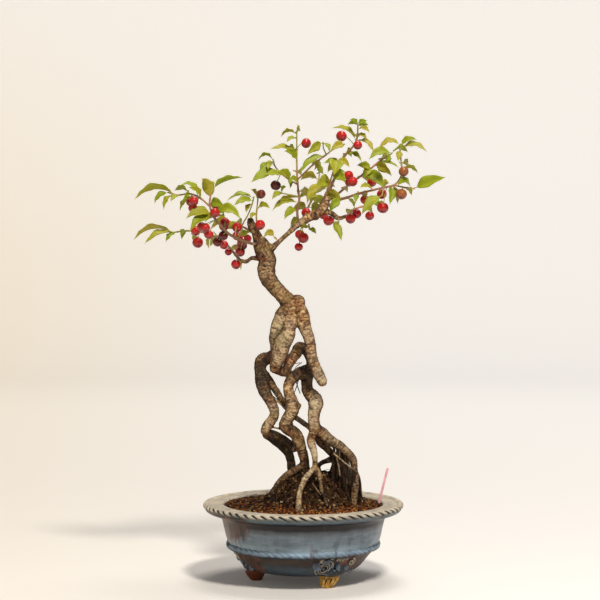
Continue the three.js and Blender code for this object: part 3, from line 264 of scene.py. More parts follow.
# The tree's wood: points of (across, depth, up, radius)
limbs = {
    "trunk": [(-8, -2, 272, 9), (-13, -2, 277.5, 8.6), (-18.5, -2, 283, 8), (-24.4, -1, 289.6, 7.5),
        (-28.9, 0, 294.7, 7.6), (-32.8, 0, 299.7, 8), (-35.7, 0, 304.7, 8.7), (-36.8, 0, 312, 9.1),
        (-35.6, 0, 319.8, 8.8), (-37.5, 0, 326, 9), (-39.4, 0, 330.5, 9.2), (-42.5, -1, 337, 8.2),
        (-45.5, -1.5, 343.5, 5), (-47.5, -2, 349, 4.3), (-51.3, -3, 355.5, 4.1), (-52.5, -3, 360, 3.6)],
    "frontRoot": [(-7, -2, 277, 8), (-1.8, -8, 268, 6.9), (0.9, -12, 256, 6.8), (4.6, -14.5, 246.5, 5.9),
        (7, -16.5, 237, 5.4), (7.9, -18, 227, 5.4), (10.6, -19, 217.5, 5.4), (14.9, -21, 207, 5.6),
        (18.4, -23, 201, 5.4)],
    "leftRoot": [(-12, -2, 277, 8), (-20, -6, 268, 6.8), (-24.5, -9, 259, 6.8), (-26.8, -10, 251, 6.8),
        (-28.4, -8, 245, 5.6), (-28.5, -4, 238, 5), (-28.5, 0, 229, 5), (-34, 4, 223.5, 6.2),
        (-40.5, 4, 221, 7.3), (-43.2, 1, 214, 6.4), (-42.6, -2, 209, 6.1), (-42, -4, 201, 6.2),
        (-39.5, -4.5, 192, 6.2), (-35.9, -5, 185, 5.6), (-31.8, -6, 177.5, 5.2), (-28.8, -6.5, 170, 4.9),
        (-29.8, -7, 163.5, 5), (-34.2, -7, 157.5, 5.2), (-37.5, -6, 151.5, 5.2), (-36.5, -2, 147, 5),
        (-30.5, 5, 143, 5), (-22.5, 11, 136.5, 5), (-15.5, 15, 129, 4.8), (-12.3, 17, 120, 4.6),
        (-11.5, 18, 108, 4.4), (-11, 18, 84, 4.2)],
    "middleRoot": [(-10, -4, 275, 7), (-12, -11, 260, 6.6), (-13.8, -14, 253, 6.4), (-16, -15, 245, 7.9),
        (-21, -16, 236.5, 8.8), (-23.5, -15, 228, 8.5), (-26, -13, 220, 7.4), (-27.8, -9, 214.5, 6),
        (-23, -5, 210.5, 5), (-18, -2, 209.2, 4.6), (-15.5, 1, 215, 5), (-12.1, 4, 221.7, 5.2),
        (-7.1, 8, 228.3, 5.8), (-3.8, 11, 234, 5.6), (2.5, 13, 231, 5.2), (8, 12, 221, 5.4), (9, 8, 211, 6.4)],
    "archRoot": [(8, 7, 212, 6.5), (1, 6, 210, 6), (-7, 3, 206, 5.9), (-13.3, -1, 199.5, 5.6),
        (-15, -4, 193, 5.2), (-13, -6, 184, 5.6), (-10.4, -8, 176, 6.5), (-11.5, -8, 169.5, 6.6),
        (-15.5, -7, 162.5, 6.2), (-18.3, -5, 156, 6.3), (-15, -3, 151.8, 6.2), (-8.6, -2, 148, 6.1),
        (-5, -1, 141.5, 6.1), (-3, 0, 135.5, 5.8), (-1, 1, 129, 5.3), (0.5, 2, 122, 4.8), (2, 4, 112, 4.4),
        (4, 5, 98, 4), (4, 5, 84, 3.8)],
    "rightRoot": [(7, 7, 214, 7), (4, 5, 204, 6.2), (3.6, 2, 196, 5.8), (5, -1, 189.5, 6),
        (9.5, -5, 184.5, 6.8), (12.7, -8, 179.5, 7), (12.3, -10, 174.5, 7), (10.6, -11, 169, 6.3),
        (10.3, -12, 162, 6), (11, -12, 155, 6.3), (12.5, -10, 148, 6.8)],
    "rightFoot": [(12, -10, 151, 6.4), (18, -11.5, 148.5, 6), (23.2, -12, 144, 5.6), (30.2, -12, 139, 5.1),
        (37, -12, 134.8, 4.9), (42, -12, 130, 4.6), (48, -11, 124.5, 4.2), (50.6, -10, 118, 3.5),
        (51, -10, 111, 3.4), (52, -11, 105, 4.1), (51.4, -12, 97, 4.2), (51.2, -13, 90, 3.8),
        (51, -14, 82, 3.4), (50.8, -15, 68, 3)],
    "frontFoot": [(11, -11, 150, 5), (7.6, -13, 141, 4), (9.3, -16, 133.5, 3.9), (11, -18, 127.5, 3.4),
        (11.8, -20, 120, 2.9), (11.3, -22, 113.5, 2.9), (7, -25, 108.5, 3), (2.5, -28, 103.3, 3.2),
        (-0.4, -32, 96.5, 3.3), (-3, -36, 90, 3.1), (-4.2, -40, 84, 3), (-4.7, -45, 76, 3.1),
        (-5, -49, 69, 3.1), (-5.2, -50, 58, 2.9)],
}
smallRoots = [
    [(-40, -1, 209, 4.6), (-34.5, 0, 201, 4.2), (-26, 4, 188.5, 3.6), (-17, 7, 176, 3.2)],
    [(-33, 2, 147, 5), (-26, 7, 144, 4.8), (-12.5, 10, 136, 4.6), (-7, 6, 131, 4.2)],
    [(12, -21, 114, 2.9), (15.5, -23, 108, 2.5), (17.3, -25, 99, 2.1), (18.2, -27, 91, 1.9),
     (21, -29, 83, 1.7), (24, -31, 74, 1.5)],
    [(15, -8, 144, 4.8), (17.5, -4, 138.3, 4.2), (23.4, 0, 132.5, 4), (31, 6, 123.5, 3.8),
     (27, 9, 121.5, 3), (16.5, 15, 116.5, 2.4), (12, 17, 108, 2.2), (12, 17, 90, 2)],
    [(30, -14, 128, 1.4), (41, -19, 118.5, 1.2), (50, -18, 111, 1.1), (54.5, -12, 107, 1.1),
     (57, -8, 100, 1), (57.6, -5, 90, 1), (58, -3, 78, 1), (58, -3, 66, 1)],
    [(-8, 0, 164, 2.8), (-1, -2, 159, 2.6), (7, -8, 153, 2.8)],
    [(-33.5, -2, 186, 1.8), (-28, 3, 181, 1.1), (-23, 3, 177.5, 1.1), (-17, 1, 171.5, 1.3),
     (-11, -3, 168, 1.5)],
    [(-33, -5, 154.5, 1.4), (-23, -3, 152.2, 1), (-16, -3, 151, 1.4)],
    [(2, 2, 118, 3.4), (-8.3, 4, 110.5, 3.8), (-18.3, 6, 103.5, 3.8), (-25, 7, 96.5, 3.4),
     (-31, 8, 86, 2.8)],
    [(-13, -6, 178, 3.4), (-15, 10, 165, 3.4), (-10, 25, 147, 3.2), (0, 32, 122, 3), (4, 34, 84, 2.6)],
    [(36, -12, 135, 3.6), (39, -2, 133, 3.2), (42, 8, 124, 3), (45, 17, 110, 2.8), (46, 24, 80, 2.4)],
    [(31, 6, 124, 2.8), (31.5, 8, 112, 2.6), (32, 9, 86, 2.4)],
    [(37, -8, 132, 2.6), (38.5, 5, 118, 2.2), (39, 8, 86, 2.2)],
]
branches = [
    [(-39, 0, 328, 7), (-31, -2, 333, 3.6), (-27, -3, 336.5, 2.8), (-23, -4, 340.5, 2.5),
     (-18, -5.5, 345, 2.5), (-13, -7, 349.5, 2.6), (-7, -8, 355, 3.1), (-1, -8, 359, 3.6),
     (7, -7, 364, 4.2), (14, -5, 368, 4.6), (19, -4, 372, 4.6), (23, -2, 378, 3.2), (24, 0, 384, 2)],
    [(15, -4, 369, 3.2), (27, -1, 368, 2.6), (35, 1, 362.5, 2.3), (43, 3, 365, 2)],
    [(-38, 0, 323, 3), (-46, 2, 322.5, 2.6), (-51, 4, 323, 2.2), (-57, 8, 319.5, 2.1),
     (-63, 14, 321, 1.9)],
    [(-40, 0, 335, 2.6), (-50, -9, 337, 1.8)],
    [(-38, 2, 334, 3), (-42, 12, 340, 2.2)],
]
knots = [(-6, -2, 278.5, 8.2), (18.8, -23, 200, 5.2), (-27.8, -9.5, 213.5, 6), (-5.5, -7, 175, 3.6),
    (12, -7, 366, 5), (19, -3, 372.5, 5.3), (-35, -1, 332, 6), (-35.4, 0, 320, 8.9),
    (12.4, -8, 178, 7.6)]

# Each shoot: its twigs, then its leaves as (base, tip, the width that shows, the height of the arch)
shoots = {
    "left_high": {
        "twigs": [
            [(-50.7, -9.6, 337.2, 1.5), (-60, -14, 340, 1.5), (-67, -17, 343, 1.4),
             (-74, -20, 347, 1.4), (-81, -24, 354, 1.3), (-87, -26, 361, 1.2), (-91, -27, 368, 1.1),
             (-93, -26, 377, 1), (-91, -24, 391, 0.8)],
            [(-92.5, -26, 374, 1), (-103, -24, 383, 0.9), (-113, -20, 387, 0.8),
             (-125, -16, 385.5, 0.8), (-134, -13, 388, 0.7)],
        ],
        "leaves": [
            (-126, -16, 385.5, -168, -6, 381, 5, 8), (-134, -13, 388, -148, -14, 377, 5, 3),
            (-130, -15, 386, -139, -24, 371, 4, 2), (-123, -17, 385.5, -132, -28, 379, 4, 1),
            (-113, -20, 387, -119, -30, 380, 5, 2), (-109, -22, 385, -123, -10, 370, 2.5, 2),
            (-104, -24, 384, -123, -30, 395, 4, 6), (-101, -24, 382, -114, -38, 393, 5, 3),
            (-93, -26, 381, -101, -36, 402.5, 11, 5), (-92.5, -26, 378, -79, -38, 373, 9, 3),
            (-91, -24, 390, -60, -16, 403, 4, 3), (-89, -26.5, 365, -62, -36, 361, 9, 8),
            (-91, -27, 367, -117, -38, 362, 8, 4), (-89, -26.5, 363, -113, -44, 349, 8, 4),
            (-113, -20, 387, -128, -4, 390, 4, 3), (-91, -24, 390, -96, -6, 396, 6, 3)],
    },
    "left_low": {
        "twigs": [
            [(-63.7, 14.9, 321.7, 1.4), (-68, 18, 327, 1.4), (-73, 22, 333, 1.3), (-79, 26, 339, 1.2),
             (-87, 28, 344, 1.1), (-98, 24, 348, 1), (-107, 17, 349.5, 0.9), (-117, 10, 350, 0.8),
             (-129, 4, 348.5, 0.7)],
            [(-67, 17.5, 326, 1), (-66, 10, 335, 0.9), (-63, 4, 345, 0.8), (-60.5, 0, 356, 0.8),
             (-55, -3, 366, 0.7), (-51, -5, 376, 0.7), (-49, -6, 384, 0.6)],
        ],
        "leaves": [
            (-129, 4, 348.5, -169, 14, 341, 3, 7), (-128, 4.5, 348.5, -158, -10, 337, 4.5, 4),
            (-124, 6, 349, -137, -8, 339, 4, 1), (-117, 10, 350, -121, -2, 341, 6, 4),
            (-110, 15, 349.7, -108, 26, 335, 5, 1), (-92, 26.5, 346, -94, 34, 332, 2.5, 1),
            (-67, 17.3, 325.6, -62, 28, 311, 4, 1), (-79, 26, 339, -93, 46, 334, 6, 4),
            (-87, 28, 344, -84, 54, 338, 8, 4), (-98, 24, 348, -112, 44, 346, 6, 4),
            (-49.5, -6, 383, -76, -8, 379.5, 2.5, 4), (-50, -5.5, 380, -69, -20, 375, 6, 3),
            (-51, -5, 377, -57, -14, 368, 4, 1), (-73, 22, 333, -60, 38, 326, 7, 3)],
    },
    "left_stub": {
        "twigs": [
            [(-46.5, -5.5, 359.5, 0.9), (-46.6, -6, 366, 0.8), (-46, -6.5, 374, 0.7), (-45, -7, 382, 0.6)],
        ],
        "leaves": [
            (-46, -5, 367, -53, -13, 362, 4, 1), (-46, -5, 370, -33, -16, 372, 4.5, 4),
            (-45.5, -6.5, 380, -52, 6, 391, 3, 2)],
    },
    "left_back": {
        "twigs": [
            [(-42.3, 12.6, 340.4, 1.4), (-50, 24, 348, 1.3), (-60, 36, 354, 1.1), (-70, 48, 358, 0.9),
             (-78, 58, 362, 0.7)],
        ],
        "leaves": [
            (-51, 25, 348.6, -66, 34, 339, 6, 3), (-57, 32.5, 352, -48, 50, 344, 7, 3),
            (-63, 39.5, 355, -80, 44, 350, 7, 3), (-68, 45.5, 357, -62, 68, 352, 8, 4),
            (-72, 50.5, 359, -91, 58, 352, 7, 4), (-78, 58, 361.5, -98, 70, 358, 7, 5),
            (-78, 58, 361.5, -80, 82, 366, 7, 5)],
    },
    "upright": {
        "twigs": [
            [(-5.5, -8, 361.8, 1.3), (-6, -9, 370, 1.2), (-4, -10, 380, 1.1), (-5, -10, 390, 1.1),
             (-6, -10, 402, 1), (-6.5, -9, 420, 0.8), (-6.5, -8, 437, 0.7), (-6.4, -7, 450, 0.5)],
            [(-5.5, -10, 396, 0.9), (-14, -6, 401, 0.8), (-22, -2, 407, 0.8), (-28, 2, 414, 0.7),
             (-30, 4, 421, 0.6)],
            [(-4.5, -10, 384, 0.8), (-14, -16, 386, 0.7), (-24, -20, 388, 0.6)],
            [(-5.5, -10, 401, 0.9), (10, -14, 416, 0.9), (22, -18, 425, 0.8), (30, -20, 431, 0.7),
             (41, -20, 436, 0.6)],
            [(23, -18, 425.5, 0.7), (20, -20, 432, 0.6), (19.5, -20, 438, 0.6)],
        ],
        "leaves": [
            (-6.5, -7.5, 445, -22.5, -1, 443, 3, 4), (-6.5, -7.7, 441, -17, -18, 438, 3, 2),
            (-6.4, -7, 446, -3, 12, 449, 3, 3), (-6.5, -8.5, 426, -33, -18, 431, 4, 4),
            (-6.5, -9, 420, -19, -23, 429, 7, 3), (-30, 4, 420, -45, 8, 420, 3, 5),
            (-29.7, 3.7, 419, -35, -10, 410, 6, 2), (-28.5, 2.5, 415.5, -43, -3, 406, 4, 5),
            (-25, 0, 410, -52, -12, 398, 9, 3), (-12, -7, 400, -26, -22, 408, 7, 3),
            (-15, -5.5, 402, -13, -14, 392, 4, 2), (-20, -3, 405.5, -39, -14, 405, 5, 2),
            (-5.7, -10, 397, -14, -24, 401, 5, 2), (-20, -18.5, 387.3, -31, -26, 381, 5, 2),
            (-22, -19.3, 387.7, -17, -30, 394, 3, 1), (-4.2, -10, 379, -31, -20, 370, 4, 3),
            (-5.5, -9, 371, -19, -20, 361, 7, 3), (-4.5, -10, 382.5, -28, -4, 377, 2.5, 2),
            (19.5, -20, 437, 4, -30, 425, 8, 3), (19.5, -20, 437, 26, -28, 428, 4, 2),
            (22, -18, 425, -4, -34, 407, 6.5, 3), (15, -15.5, 420, 11, -24, 410, 3, 1),
            (40.5, -20, 435.5, 27, -33, 430, 7, 2),
            (-6, -9.7, 409, -2, 13, 405, 7, 3), (-6.5, -8.6, 430, -13, 12, 428, 5, 3),
            (-5, -10, 389, 3, 12, 384, 7, 3), (10, -14, 416, 15, 8, 411, 6, 3)],
    },
    "top": {
        "twigs": [
            [(24.3, 0.8, 385.2, 1.6), (27, 5, 393, 1.5), (31, 8, 402, 1.4), (35, 9, 412, 1.3),
             (39, 7, 422, 1.2), (48, 4, 432, 1), (53, 2, 441, 0.8), (54, 0, 452, 0.7),
             (54, -1, 457, 0.6)],
        ],
        "leaves": [
            (54, -1, 456, 46, -8, 460.5, 4, 1), (54, -1, 456, 63.5, -5, 459, 4, 1),
            (54, -0.6, 454.5, 44, 6, 455, 3.5, 2), (54, -0.5, 453.5, 65, 3, 454.5, 4, 2),
            (54, 0, 451, 66, -9, 447, 4, 3), (53.5, 1, 446, 63, -8, 440.5, 3.5, 1),
            (52, 2.4, 439.5, 28, -1, 452, 4, 5),
            (52.5, 2, 440, 70, -8, 428, 4, 4), (42, 6, 425.3, 58, -3, 418.5, 4, 4),
            (31.5, 8.2, 403, 41, 32, 398, 8, 4), (35, 9, 412, 24, 31, 408, 8, 4),
            (40, 6.7, 423, 48, 27, 423, 6, 4), (53, 2, 441, 50, 20, 444, 5, 3),
            (27.5, 5.5, 394.5, 14, 26, 387, 8, 4), (36, 8.6, 414.5, 20, 4, 417, 6, 3)],
    },
    "right_front": {
        "twigs": [
            [(25.7, -7.5, 374.5, 1.5), (33, -12, 380, 1.4), (43, -18, 383, 1.3), (55, -22, 387, 1.2),
             (67, -23, 390, 1.1), (79, -21, 393, 1.1), (91, -17, 396, 1), (97, -15, 404, 0.9),
             (97.5, -14, 416, 0.8), (96, -13, 428, 0.7), (97, -13, 436, 0.6)],
            [(90, -17.3, 395.5, 0.9), (101, -15, 393, 0.8), (110, -13, 392, 0.8)],
            [(80, -21, 393, 0.8), (78, -26, 385, 0.7)],
        ],
        "leaves": [
            (96.8, -13, 435, 75, -16, 429, 5, 6), (97, -13, 434, 113, -17, 440.5, 5, 3),
            (96.3, -13, 431, 123, -22, 428, 5, 5), (96, -13, 429, 94, -22, 419, 6, 1),
            (97.3, -14.3, 412, 114, -5, 407, 3.5, 3), (110, -13, 392, 141.7, -24, 403.4, 10, 1),
            (107, -13.7, 392.4, 93, -28, 394, 6, 6), (101, -15, 393, 108, -2, 385, 4, 2),
            (87.5, -18, 395.3, 86, -31, 376, 7, 2), (90, -17.5, 395.7, 94, -8, 377, 5, 1),
            (78, -26, 385.5, 58, -36, 366, 9, 3), (53, -21.5, 386.5, 52, -30, 378, 5, 1),
            (38, -15, 381.5, 26, -26, 368, 8, 2), (68, -23, 390.3, 56, -36, 393, 4, 2),
            (43, -18, 383, 51, -8, 373, 2.5, 1), (56, -22, 387.3, 62, -2, 380, 6, 3),
            (80, -21, 393.3, 85, -2, 397, 6, 3), (97.5, -14, 416, 104, 6, 414, 5, 3)],
    },
    "right_back": {
        "twigs": [
            [(21.3, 3.6, 377.5, 1.4), (31, 13, 384, 1.3), (43, 21, 394, 1.2), (55, 27, 403, 1.1),
             (67, 30, 412, 1), (77, 32, 420, 0.9), (88, 34, 427, 0.7)],
        ],
        "leaves": [
            (67, 30, 412.5, 53, 16, 415, 7, 2), (66.5, 29.8, 411.5, 60, 17, 401, 8, 3),
            (88, 34, 426.5, 65, 22, 420.5, 8, 4), (87, 33.8, 426, 82, 22, 418, 5, 1),
            (70, 30.6, 414.5, 88, 16, 404, 9, 4), (60, 28.3, 407, 81, 12, 391, 11, 4),
            (72, 31, 416, 95, 26, 412.5, 2.5, 3), (88, 34, 426.5, 104, 50, 428, 5, 4),
            (43, 21, 394, 44, 45, 388, 8, 4), (55, 27, 403, 66, 50, 397, 8, 4),
            (77, 32, 420, 84, 56, 420, 7, 4), (31, 13, 384, 21, 34, 377, 8, 4)],
    },
    "right_low": {
        "twigs": [
            [(43.7, 3.6, 365.4, 1.2), (50, 8, 371, 1.1), (58, 12, 374, 0.9), (68, 14, 376, 0.7)],
        ],
        "leaves": [
            (58, 12, 374, 69, 30, 368, 7, 3), (68, 14, 376, 84, 22, 370, 5, 3),
            (50, 8, 371, 46, 28, 363, 7, 3), (67.5, 14, 376, 77, -3, 372, 5, 3)],
    },
    "middle_back": {
        "twigs": [
            [(-5.6, -2.8, 353.9, 1.4), (-1, 12, 361, 1.3), (4, 28, 372, 1.2), (10, 42, 384, 1),
             (14, 54, 395, 0.9), (16, 63, 406, 0.7)],
        ],
        "leaves": [
            (-2, 9, 359.3, -13, 24, 354, 7, 3), (1, 18, 365, 14, 32, 360, 7, 3),
            (4, 28, 372, -11, 42, 369, 8, 4), (8, 37, 379.7, 24, 50, 374, 8, 4),
            (10, 42, 384, -4, 60, 382, 8, 4), (14, 54, 395, 32, 64, 393, 8, 4),
            (15, 58.5, 400, -3, 72, 400, 7, 4), (16, 63, 405.5, 20, 86, 406, 8, 5),
            (16, 63, 405.5, 6, 72, 421, 6, 3)],
    },
    "middle_front": {
        "twigs": [
            [(12.5, -12.8, 369.5, 1.3), (17, -26, 376, 1.2), (21, -40, 384, 1.1), (25, -52, 393, 1),
             (28, -60, 403, 0.9), (33, -62, 420, 0.7)],
        ],
        "leaves": [
            (26, -55, 396.5, 12, -75, 394, 12, 4), (28.5, -60.3, 405, 42, -74, 398, 11, 3),
            (24, -49.5, 391, 3.5, -61, 376, 9, 8), (20, -36.5, 382, 6, -48, 377, 4, 4),
            (33, -62, 419.5, 31, -76, 405, 13, 3), (33, -62, 419.5, 46, -70, 413, 6, 2),
            (22.5, -44.5, 387, 38, -54, 381, 8, 3), (17, -26, 376, 8, -42, 368, 6, 3)],
    },
    "fork": {
        "twigs": [
            [(-26.5, -6, 341.8, 0.9), (-28.5, -8, 343.5, 0.7)],
        ],
        "leaves": [(-28.5, -8, 343.3, -39.5, -12, 342.6, 6, 5)],
    },
    "under_right": {
        "twigs": [
            [(30.4, -2.8, 362.4, 0.9), (29, -5, 358, 0.7)],
        ],
        "leaves": [
            (29, -5, 358.5, 38, -14, 340, 7, 1), (29, -5, 358.5, 34, 10, 352, 5, 2)],
    },
    "under_branch": {
        "twigs": [
            [(5.4, -11, 357, 0.9), (6, -13, 352, 0.7)],
        ],
        "leaves": [
            (6, -13, 352.5, 13, -20, 347, 4, 1), (6, -13, 352.5, -3, -24, 352, 3.5, 2)],
    },
}

# Each bunch: where it grows and how thick its twig is there, then its cherries
bunches = [
    ((-103, -24, 383, 0.9), [(-109, -34, 379.5, 4.8), (-109.5, -26.5, 372.5, 4.8), (-112, -6, 379, 4.7)]),
    ((-91, -27, 368, 1.1), [(-87, -19, 376, 4.8), (-88, -35, 368, 4.8)]),
    ((-87, -26, 361, 1.2), [(-97.5, -34, 353, 4.8), (-94, -27, 346.4, 4.8), (-101, -25, 354, 4.8)]),
    ((-103, 20.5, 348.8, 1), [(-107, 5, 350, 4.8), (-105, 8, 338.3, 5.5)]),
    ((-78, -22.3, 351, 1.3), [(-78, -12, 358.3, 4.8), (-79, -3, 354.5, 4.8)]),
    ((-76, -21, 349, 1.4), [(-79.5, -11, 345.3, 4.8), (-85.4, -5, 339, 4.8)]),
    ((-75, 23.5, 335, 1.3), [(-79, 10, 336, 4.5), (-74.6, 14, 329, 3.7)]),
    ((-68, -17.4, 343.5, 1.4), [(-66, -8, 353.5, 5)]),
    ((-60, -14, 340, 1.5), [(-60.5, -5, 340, 5), (-60.5, 4, 335.5, 4.8), (-62.7, -3, 329, 4.8)]),
    ((-59, 10, 320, 2.1), [(-67, 5, 316.6, 5)]),
    ((-48.5, -2, 351, 4.8), [(-43, -10.5, 356, 5.1)]),
    ((-45, -7, 382, 0.6), [(-42, -11, 386.5, 4.6)]),
    ((-22, -2, 407, 0.8), [(-27.4, -4, 395.2, 5.3)]),
    ((-6.4, -8.5, 432, 0.8), [(2.8, -12, 437, 5)]),
    ((50, 3, 436, 0.9), [(37.8, -13, 444, 5.4)]),
    ((51, 2.6, 438, 0.9), [(54, -9, 435, 4.5)]),
    ((35, 9, 412, 1.3), [(45, -3, 405, 4.8), (49, -11, 399, 5), (46, 4, 398.5, 4.8)]),
    ((33, -12, 380, 1.4), [(31.5, -3.5, 384.4, 4.6)]),
    ((2, -7.6, 361, 4.1), [(2.8, 5, 368, 4.8)]),
    ((-1, -8, 359, 3.9), [(-3.5, -4, 346.5, 4.8), (0, -13, 343, 5.5), (-4.5, -8, 334, 4.3)]),
    ((24, -2, 368.3, 2.8), [(25, -8.5, 360.2, 5.2)]),
    ((43, 3, 365, 2), [(47, -7, 362, 5), (53, -1, 367, 4.8)]),
    ((61, -22.5, 388.5, 1.2), [(61, -13, 381, 4.5)]),
    ((62, 13, 375, 0.9), [(66, 2, 365, 4.6)]),
    ((76, -21.5, 392.3, 1.1), [(78, -12, 386.5, 5)]),
    ((83, -20, 394, 1.1), [(79, -16, 373, 5.8)]),
    ((99, -15.4, 393.6, 0.8), [(97.5, -21, 386.5, 5.5)]),
    ((97.4, -14.3, 411, 0.8), [(99.6, -22, 409, 5)]),
    ((-62, 38.5, 354.7, 1.1), [(-56, 42, 342, 4.8), (-66, 51, 345, 4.8)]),
    ((5, 30.5, 374, 1.2), [(20, 34, 366, 4.8)]),
    ((62, 28.7, 408.3, 1.1), [(68, 38, 398, 4.8)]),
]

print("camera, lights and backdrop")
studio = {
    "wall": 3.2, "cove": 0.9, "floor": 2.2, "top": 3.6,  # metres from the middle, and the wall's height
    "paper": "#F0ECE6", "warmPaper": "#EBDBBE", "glow": 0.46,  # the wall is lit from behind
    "sky": "#FDFCFF", "skyStrength": 0.19,
    "key": {"at": (0.55, -1.75, 2.3), "size": 0.4, "watts": 60, "colour": "#FFFAF3"},
    "fill": {"at": (-1.9, -1.9, 0.9), "size": 1.2, "watts": 3.5, "colour": "#FFFAF3"},
    "topLight": {"at": (0.3, 0.5, 2.8), "size": 1.2, "watts": 34, "colour": "#FFFCF8"},
}

camera = linked(bpy.data.cameras.new("camera"))
camera.location = Vector((potX + eye["across"], -eye["distance"], eye["height"])) * mm
camera.rotation_euler = (math.radians(90 - eye["tilt"]), 0, 0)
camera.data.sensor_width = 36
camera.data.lens = 36 * eye["focal"] / eye["frame"]
bpy.context.scene.camera = camera
bpy.context.scene.view_settings.view_transform = "Standard"

world = bpy.data.worlds.new("studio")
bpy.context.scene.world = world
world.use_nodes = True
world.node_tree.nodes["Background"].inputs["Color"].default_value = linear(studio["sky"])
world.node_tree.nodes["Background"].inputs["Strength"].default_value = studio["skyStrength"]
for lampName in ("key", "fill", "topLight"):
    plan = studio[lampName]
    lamp = linked(bpy.data.lights.new(lampName, "AREA"))
    lamp.data.shape = "DISK"
    lamp.data.size = plan["size"]
    lamp.data.energy = plan["watts"]
    lamp.data.color = linear(plan["colour"])[:3]
    lamp.location = plan["at"]
    aim = Vector((0, 0, 0.25)) - lamp.location
    lamp.rotation_euler = aim.to_track_quat("-Z", "Y").to_euler()


def paperMaterial():  # seamless paper: matt, lit from behind away from the object, warmer low on the left
    material, tree, spot = startMaterial("studio_paper")
    axes = addNode(tree, "SeparateXYZ", {}, {"Vector": spot})
    left = addNode(tree, "MapRange", {"interpolation_type": "SMOOTHSTEP", "range": (0.3, -1.3)},
        {"Value": axes.outputs["X"]})
    low = addNode(tree, "MapRange", {"interpolation_type": "SMOOTHSTEP", "range": (1.1, -0.1, 0.12, 1)},
        {"Value": axes.outputs["Z"]})
    warm = addNode(tree, "Math", {"operation": "MULTIPLY"}, {"Value": left, "Value_001": low})
    colour = addNode(tree, "Mix", {"A_Color": studio["paper"], "B_Color": studio["warmPaper"]},
        {"Factor_Float": warm})
    ground = addNode(tree, "CombineXYZ", {}, {"X": axes.outputs["X"], "Y": axes.outputs["Y"]})
    away = addNode(tree, "VectorMath", {"operation": "LENGTH"}, {"Vector": ground})
    glow = addNode(tree, "MapRange",
        {"interpolation_type": "SMOOTHSTEP", "range": (0.2, 2.2, 0.06, studio["glow"])},
        {"Value": away.outputs["Value"]})
    return endMaterial(material, {"Roughness": 1.0, "Specular IOR Level": 0.0},
        {"Base Color": colour, "Emission Color": colour, "Emission Strength": glow})


def backdrop():  # a round sweep of paper: a floor for the shadows, then a cove and a wall that let light in
    paper = paperMaterial()
    bm = bmesh.new()
    bmesh.ops.create_circle(bm, cap_ends=True, cap_tris=False, segments=128, radius=studio["floor"])
    floor = linked(meshOf(bm, "floor"))
    outline = [(studio["floor"] - 0.1, -0.001)]
    for step in range(13):
        turn = math.radians(90 * step / 12)
        outline.append((studio["wall"] - studio["cove"] * (1 - math.sin(turn)),
                        studio["cove"] * (1 - math.cos(turn))))
    outline.append((studio["wall"], studio["top"]))
    bm = turned(outline, 128)
    bmesh.ops.recalc_face_normals(bm, faces=bm.faces)
    wall = linked(meshOf(bm, "wall"))
    wall.visible_shadow = False
    wall.visible_diffuse = False
    wall.visible_glossy = False
    for piece in (floor, wall):
        piece.data.materials.append(paper)


backdrop()

print("pot")
pot = {
    "steps": 96,
    "outside": [
        (10, 11.2), (42, 10.8), (50, 12), (56, 15), (61, 20.5), (65.5, 26.5), (69.6, 31.6), (73.6, 33.4),
        (75.2, 37.5), (76, 41.5), (77.2, 44.5), (79, 52), (80.8, 60.5), (82.2, 65.4), (85.6, 68.2), (92, 69.1),
        (96.5, 70.2), (98.6, 72.4)],
    "rim": [(98.5, 74.5), (96.5, 77), (92.5, 77.4), (86, 78.1), (81.6, 78.5), (80.2, 77.7)],
    "inside": [(79.2, 75.4), (77, 66), (70, 45), (60, 27), (50, 18), (10, 17.2)],
    "uneven": 0.35,  # how far the hand-made wall strays, mm
    # the mouldings: the notches across them, how deep and wide they are, and the swell between them
    "rimRope": {
        "radius": 97, "height": 76.2, "out": 3.2, "up": 2.6, "notches": 64, "depth": 2, "width": 1.45,
        "slope": 1.1, "swell": 0.12, "from": -95, "to": 78, "shade": 0.9},
    "waistRope": {
        "radius": 73.8, "height": 37.2, "out": 3.2, "up": 3.6, "notches": 64, "depth": 0.65, "width": 0.9,
        "slope": 1.1, "swell": 0.4, "from": -110, "to": 70, "shade": 0.28},
    "footAngles": (-59.3, 180, 60.7),
}


def moved(mesh, spots):  # the mesh with its vertices at these places, in mm
    mesh.vertices.foreach_set("co", (np.asarray(spots) * mm).ravel())
    mesh.update()
    return mesh


def wander(spots, reach, size, seed):  # soft noise at every place
    return np.array([lumps(spot, size, seed) for spot in spots]) * reach


def spun(outline, steps, name):  # a closed outline of (radius, height) turned about the axis
    bm = turned(outline, steps, True)
    bmesh.ops.remove_doubles(bm, verts=bm.verts, dist=0.001)
    bmesh.ops.recalc_face_normals(bm, faces=bm.faces)
    return meshOf(bm, name)


def potBody():
    thing = linked(spun(pot["outside"] + pot["rim"] + pot["inside"], pot["steps"], "pot_body"))
    smooth = thing.modifiers.new("smooth", "SUBSURF")
    smooth.levels = smooth.render_levels = 1
    mesh = applied(thing)
    spots = corners(mesh)
    out = np.hypot(spots[:, 0], spots[:, 1])
    stray = wander(spots * (1, 1, 0.6), pot["uneven"], 26, 3) + wander(spots, 0.12, 7, 9)
    spots[:, :2] *= (1 + stray / np.maximum(out, 20))[:, None]
    spots[:, 2] += np.where(spots[:, 2] > 60, wander(spots * (1, 1, 0), pot["uneven"], 30, 5), 0)
    return moved(mesh, spots + (potX, 0, 0))


def remeshed(mesh, size, rounds, name):  # meshes that run into each other, made one skin and smoothed
    thing = linked(mesh)
    skin = thing.modifiers.new("skin", "REMESH")
    skin.mode = "VOXEL"
    skin.voxel_size = size * mm
    soften = thing.modifiers.new("soften", "SMOOTH")
    soften.factor = 0.5
    soften.iterations = rounds
    done = applied(thing)
    done.name = name
    return shaded(done)


